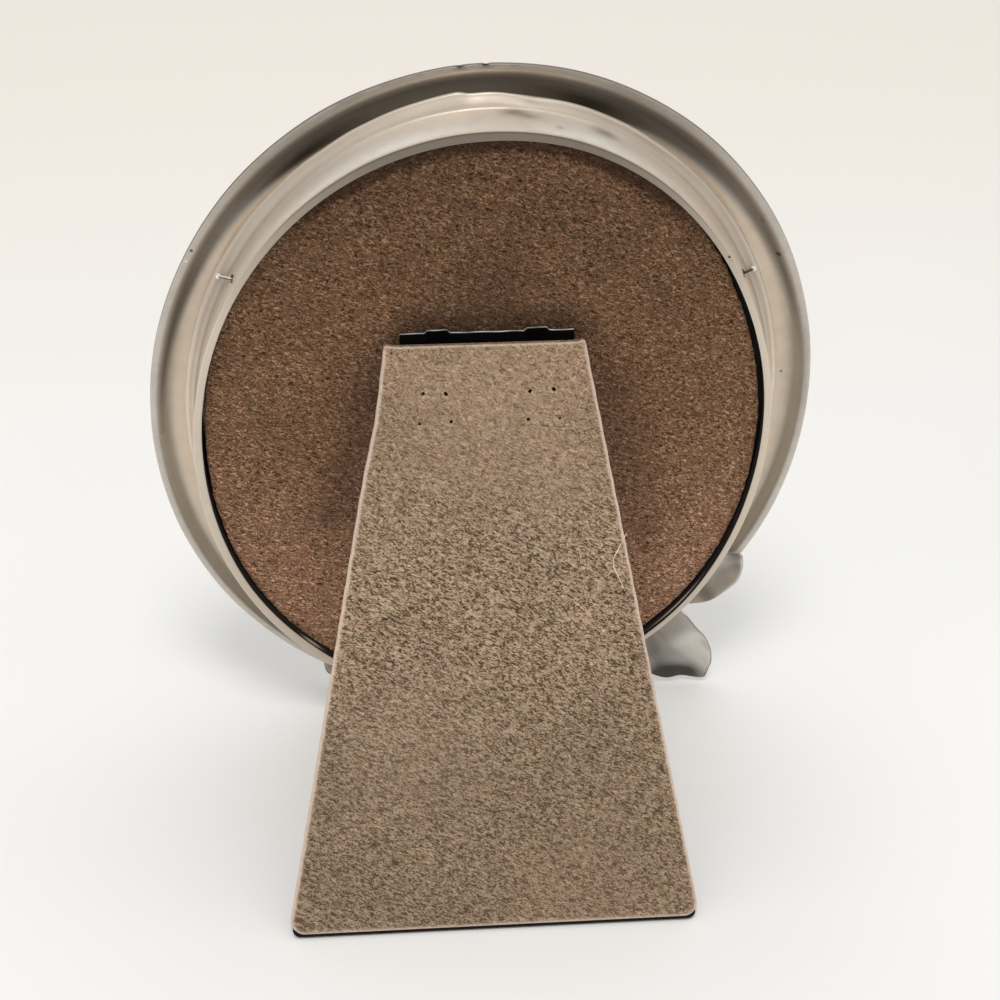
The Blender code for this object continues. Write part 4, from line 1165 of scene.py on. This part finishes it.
# Each prong: where it comes through, where its tip lies, and its size.
PRONG_MARKS = [
    (14.1, -9.3, 13.4, -8.6, 0.46), (9.1, -8.8, 8.4, -9.5, 0.48),
    (14.7, -15.7, 14.4, -15.4, 0.38), (7.65, -15.0, 7.95, -15.6, 0.44),
    (-9.7, -8.8, -9.1, -9.4, 0.48), (-14.3, -8.5, -15.0, -9.2, 0.50),
    (-8.8, -15.1, -9.3, -15.6, 0.50), (-15.8, -15.1, -16.0, -15.4, 0.38),
]


def leg_marks(look, colour):
    """Paler sides, dark tufts lower down, the stain, rubbed strokes, and painted shade in the
    prongs' pits with a painted highlight beside each.
    """
    along = look.axis("Y")
    tuft = look.noise(2.1, 1.0, 0.5, 1.2, look.drawn_out(PILE_ANGLE, 2.3))
    lower = look.span(along, -4.0, -52.0, 0.10, 1.0)
    for low, high, strength, shade in [
        (0.535, 0.595, 0.8, (0.036, 0.022, 0.011)), (0.46, 0.39, 0.36, (0.70, 0.56, 0.42)),
    ]:
        tufts = look.times(look.span(tuft, low, high), look.times(lower, strength))
        colour = look.mix(tufts, colour, shade)
    deep = look.span(along, -60.0, -105.0, 0.0, 0.30)
    colour = look.mix(deep, colour, (0.12, 0.085, 0.055))
    for x, y, last_x, last_y, size in PRONG_MARKS:
        x = x + (last_x - x) * 0.5
        # painted highlight beside each prong's pit, and painted shade in the pit
        glow, pit = (x, y - 0.5, LEG_REAR), (x, y + (last_y - y) * 0.5, LEG_REAR)
        colour = look.spotted(colour, 0.8, [(glow, 1.0, 0.35, (0.60, 0.47, 0.34))])
        colour = look.spotted(colour, 0.5, [(pit, size * 1.2, 0.9, (0.012, 0.007, 0.004))])
    prick, rubbed = (0.02, 0.012, 0.01), (0.42, 0.34, 0.26)
    colour = look.spotted(colour, 0.9, [((x, y, -4.9), *rest) for x, y, *rest in [
        (27.4, -113.2, 1.5, 0.75, (0.06, 0.035, 0.025)),
        (26.0, -115.0, 1.2, 0.5, (0.09, 0.05, 0.035)),
        (23.0, -118.0, 1.7, 0.7, (0.05, 0.03, 0.02)),
        (-30.0, -55.2, 0.9, 0.9, prick), (-20.5, -3.0, 0.35, 0.9, prick),
        (-23.3, -15.7, 0.35, 0.9, prick), (-23.9, -18.2, 0.32, 0.9, prick),
        (-21.4, -18.3, 0.40, 0.9, prick), (24.2, -22.5, 0.35, 0.9, prick),
        (20.3, 0.2, 0.42, 0.9, prick), (-19.3, 0.4, 0.32, 0.9, prick),
        (-20.4, 0.1, 0.38, 0.9, prick), (0.0, -12.0, 30.0, 0.18, (0.40, 0.29, 0.205)),
        (0.2, -1.0, 1.8, 0.30, rubbed), (0.1, -6.0, 1.5, 0.22, rubbed),
        (0.0, -11.0, 1.5, 0.2, rubbed), (-4.0, -14.5, 2.2, 0.2, rubbed),
        (-14.0, -30.0, 15.0, 0.12, (0.40, 0.29, 0.22)),
        (20.0, -90.0, 30.0, 0.15, (0.38, 0.27, 0.20)),
        (-20.0, -128.0, 26.0, 0.15, (0.36, 0.22, 0.15)),
    ]])
    return look.masked(colour, [("side", (0.80, 0.64, 0.53), 0.85)])


def make_leg_velour():
    # The pile rolls over the edge: inset, level, and how much paler it is there.
    roll = [
        (0.55, -2.15, 1.0), (0.05, -2.2, 1.0), (0.0, -2.6, 1.0), (0.0, -3.4, 1.0),
        (0.0, -4.0, 1.0), (0.03, -4.35, 1.0), (0.14, -4.62, 0.95), (0.33, -4.80, 0.8),
        (0.60, -4.89, 0.5), (1.0, -4.92, 0.12), (1.8, -4.92, 0.0),
    ]
    outline = leg_outline(3.2, 0.8)
    tangent = np.roll(outline, -1, axis=0) - np.roll(outline, 1, axis=0)
    inward = np.stack([tangent[:, 1], -tangent[:, 0]], axis=1)
    inward = inward / np.linalg.norm(inward, axis=1, keepdims=True)
    centre = outline.mean(axis=0)
    if np.sum(inward * (centre - outline)) < 0:
        inward = -inward
    levels = []
    for inset, level, _ in roll:
        edge, further = min(inset, 0.62), max(0.0, inset - 0.62)
        levels.append((outline + inward * edge + (centre - outline) / 70.0 * further, level))
    rings = spine_rings(
        levels, lambda x, y: LEG_REAR + 0.05 * np.sin(y * 0.09) * np.cos(x * 0.12 + 0.7),
        (-108.0, -17.0), 30,
    )
    corner = bell(np.abs(rings[..., 0]) - leg_half_width(LEG_TOP), 1.3)
    rings[..., 1] += 0.45 * corner * eased((rings[..., 1] + 2.0) / 3.0)
    rows, columns = rings.shape[:2]
    look = velour_look(
        "tan_velour", PIN_PLACE, (0.315, 0.213, 0.135), (0.56, 0.42, 0.30),
        (0.095, 0.060, 0.034), leg_marks,
    )
    faces = grid_faces(rows, columns, False, True)
    piece = make_piece("leg_velour", rings, faces, PIN_PLACE, look, "leg")
    side = np.zeros((rows, columns))
    side[:len(roll)] = [[worn] for _, _, worn in roll]
    upper = rings[..., 1] > 0.0
    side[8:] *= 1 - upper[8:]
    side[:6] *= 1 - upper[:6]
    paint(piece, side=side * np.where(upper, 0.7, 1.0))
    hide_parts("leg_velvet")
    add_fibres("leg_fibres", "leg", PIN_PLACE, 2600, 6, leg_spot, (0.62, 0.51, 0.40))

    loose = [
        (-30.6, -42.0, -4.2), (-29.0, -44.6, -5.05), (-27.5, -47.5, -5.1),
        (-27.6, -49.4, -5.05), (-28.4, -51.2, -5.05), (-29.3, -53.2, -5.05), (-30.1, -55.1, -5.0),
    ]
    points, faces = tube(loose, [0.08, 0.11, 0.115, 0.11, 0.10, 0.09, 0.07], 6)
    look = Look("loose_fibre", PIN_PLACE)
    colour = look.ramp(look.noise(0.6, 2.0), [
        (0.35, (0.62, 0.52, 0.42)), (0.65, (0.88, 0.80, 0.69)),
    ])
    make_piece("loose_fibre", points, faces, PIN_PLACE, look.finish(colour, 0.7), "leg")


# ---------------------------------------------------------------- hinge

def make_hinge():
    """The ribbed leaf on the leg, with rolled knuckles and clinched prongs."""
    half, columns, top = 18.9, 200, 3.5
    x = np.linspace(-half, half, columns)
    rib = 1 - eased((np.minimum(np.abs(x - 10.8), np.abs(x + 10.8)) - 2.0) / 0.9)
    front, rear = -1.2, -1.8
    along = [-19.5, -10.0, -2.0, 0.6, 1.5, 2.1, 2.6]
    path = [(y, front) for y in along + [3.1, top]]
    path += [(3.64, -1.23), (3.73, -1.33), (3.75, -1.5), (3.73, -1.67), (3.64, -1.77)]
    path += [(y, rear) for y in [top, 3.0] + along[::-1]]
    path = np.array(path)
    count = len(path)
    run = eased((path[:, 0] - 2.1) / (top - 2.1))
    grid_x = np.repeat(x[:, None], count, axis=1) - 0.55
    wobble = 0.04 * np.sin(grid_x * 0.9 + 1.0) * run
    grid_y = path[:, 0] + 0.75 * rib[:, None] * run + wobble
    grid_z = path[:, 1] - 0.6 * rib[:, None] * run
    points = np.stack([grid_x, grid_y, grid_z], axis=-1).reshape(-1, 3)
    parts = [(points, capped(columns, count))]
    for low, high in [(-half, -14.1), (-7.5, 7.5), (14.1, half)]:
        parts += [barrel(low, high), web(low, high)]
    parts += [prong(*mark) for mark in PRONG_MARKS]
    points, faces = joined(parts)
    steel = steel_look("hinge_steel", (0.0015, 0.0015, 0.0015), "rim")
    piece = make_piece("hinge_leaf", points, faces, PIN_PLACE, steel, "leg", sharp=50)
    # painted highlight, partly metal rubbed bare: the pale line along the top edge
    rim = np.zeros(len(points))
    strip = np.zeros(count)
    strip[10:14] = (0.6, 1.0, 1.0, 0.6)
    worn = 0.75 + 0.35 * np.sin(x * 0.9 + 1.0) * np.sin(x * 0.37 + 0.4) - 0.35 * rib
    rim[:columns * count] = (strip * np.clip(worn, 0, 1)[:, None]).reshape(-1)
    paint(piece, rim=rim)
    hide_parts("hinge_swing_leaf")


def barrel(low, high, radius=0.9, bore=0.52, sides=28, soft=0.08):
    """A rolled knuckle: a tube with soft rims."""
    ring = [
        (low, bore), (low, radius - soft), (low + soft, radius),
        (high - soft, radius), (high, radius - soft), (high, bore),
    ]
    points = [(x, r * cos(turn), r * sin(turn)) for turn in turns(sides) for x, r in ring]
    return points, grid_faces(sides, len(ring), True, True)


def web(low, high):
    """The sheet that runs from the leaf up into its knuckle."""
    ring = [(low, -0.3), (high, -0.3), (high, 0.3), (low, 0.3)]
    corners = [(x, y, level) for level in (-1.5, -0.6) for x, y in ring]
    sides = [(0, 4, 5, 1), (1, 5, 6, 2), (2, 6, 7, 3), (3, 7, 4, 0)]
    return corners, [(0, 1, 2, 3), (4, 7, 6, 5)] + sides


def prong(x, y, last_x, last_y, size):
    """A prong through the leg, its tip bent over in the pile."""
    over = [
        (x + (last_x - x) * share, y + (last_y - y) * share, level)
        for share, level in ((0.2, -4.76), (0.8, -4.82), (1, -4.74))
    ]
    path = [(x, y, level) for level in (-1.5, -3.5, -4.5)] + over
    return tube(path, [0.45, 0.42, 0.36, 0.80 * size, 0.62 * size, 0.08], 10)


def steel_look(name, shade, rim=None):
    """Black japanned steel; with a rim mask, a pale line along its top edge, partly metal rubbed
    bare and partly a painted highlight.
    """
    look = Look(name, PIN_PLACE)
    scuff = look.span(look.noise(0.8, 5.0, 0.7, 0.5), 0.62, 0.80, 0.0, 0.3)
    colour = look.mix(scuff, shade, tuple(2.5 * part for part in shade))
    rough = look.span(look.noise(2.2, 3.0, 0.6), 0.3, 0.7, 0.35, 0.5)
    metal = 0.0
    if rim:
        bare = look.mask(rim)
        colour = look.mix(bare, colour, (0.80, 0.80, 0.78))
        metal = look.times(bare, 0.4)
    normal = look.bump(look.noise(1.8, 3.0, 0.6), 0.00003, 0.5)
    return look.finish(colour, rough, metal, normal, Specular_IOR_Level=0.02)


# ---------------------------------------------------------------- CAD pieces that stay

def board_look(name, place):
    """Black fibre board with a pressed grain."""
    look = Look(name, place)
    grain = look.noise(0.9, 5.0, 0.7)
    pressed = look.span(grain, 0.45, 0.75, 0.0, 0.6)
    colour = look.mix(pressed, (0.005, 0.0045, 0.004), (0.016, 0.014, 0.012))
    rough = look.span(grain, 0.3, 0.7, 0.55, 0.8)
    return look.finish(colour, rough, 0.0, look.bump(grain, 0.0001, 0.6), Specular_IOR_Level=0.15)


def glass_look():
    look = Look("window_glass", FRAME_PLACE)
    dust = look.noise(0.25, 5.0, 0.7)
    colour = look.mix(look.span(dust, 0.5, 0.8, 0.0, 0.3), (0.97, 0.99, 0.98), (0.88, 0.90, 0.88))
    normal = look.bump(look.noise(0.02, 1.0), 0.00006, 0.3)
    rough = look.span(dust, 0.4, 0.8, 0.01, 0.07)
    return look.finish(colour, rough, 0.0, normal, IOR=1.5, Transmission_Weight=1.0)


def card_look():
    look = Look("blank_card", FRAME_PLACE)
    pulp = look.noise(1.4, 5.0, 0.7)
    tone = look.ramp(look.noise(0.03, 3.0), [
        (0.35, (0.70, 0.66, 0.58)), (0.65, (0.79, 0.755, 0.68)),
    ])
    tone = look.mix(look.span(pulp, 0.5, 0.8, 0.0, 0.25), tone, (0.60, 0.55, 0.46))
    return look.finish(tone, 0.8, 0.0, look.bump(pulp, 0.00004, 0.5), Specular_IOR_Level=0.2)


def filler_look():
    look = Look("filler_board", FRAME_PLACE)
    pulp = look.noise(0.7, 5.0, 0.75)
    tone = look.ramp(pulp, [(0.32, (0.34, 0.25, 0.16)), (0.66, (0.52, 0.41, 0.28))])
    return look.finish(tone, 0.9, 0.0, look.bump(pulp, 0.00008, 0.6), Specular_IOR_Level=0.15)


def pin_look():
    look = Look("pin_steel", PIN_PLACE)
    drawn = look.noise(1.5, 4.0, 0.6, where=look.squeezed((0.3, 2.0, 2.0)))
    tone = look.ramp(drawn, [(0.3, (0.30, 0.29, 0.27)), (0.7, (0.52, 0.51, 0.49))])
    return look.finish(tone, look.span(drawn, 0.3, 0.7, 0.22, 0.4), 1.0)


def dress_nodes():
    """Better materials for the CAD pieces that stay."""
    for node, look in [
        ("glass_pane", glass_look()), ("picture_card", card_look()),
        ("filler_card", filler_look()), ("hinge_pin", pin_look()),
        ("hinge_fixed_leaf", steel_look("fixed_leaf_steel", (0.013, 0.012, 0.012))),
        ("back_board", board_look("back_board_black", FRAME_PLACE)),
        ("leg_board", board_look("leg_board_black", PIN_PLACE)),
    ]:
        for slot in NODES[node].material_slots:
            slot.material = look


set_camera()
set_floor()
set_light()
make_rail()
make_band()
make_loops()
make_blossom("blossom_large_cast", LARGE_BLOSSOM, "blossom_large")
make_blossom("blossom_small_cast", SMALL_BLOSSOM, "blossom_small")
make_leaf("leaf_upper", (-53.0, -47.0), (-66.0, -13.0), 6.2)
make_leaf("leaf_left", (38.0, -77.0), (57.5, -56.0), 5.8)
make_leaf("leaf_bottom", (-13.5, -93.5), (0.0, -95.5), 3.4)
make_back_velour()
make_leg_velour()
make_hinge()
dress_nodes()
bpy.context.scene.view_settings.view_transform = "Standard"
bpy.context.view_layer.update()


def plain(box):
    return [[float(number) for number in corner] for corner in box]
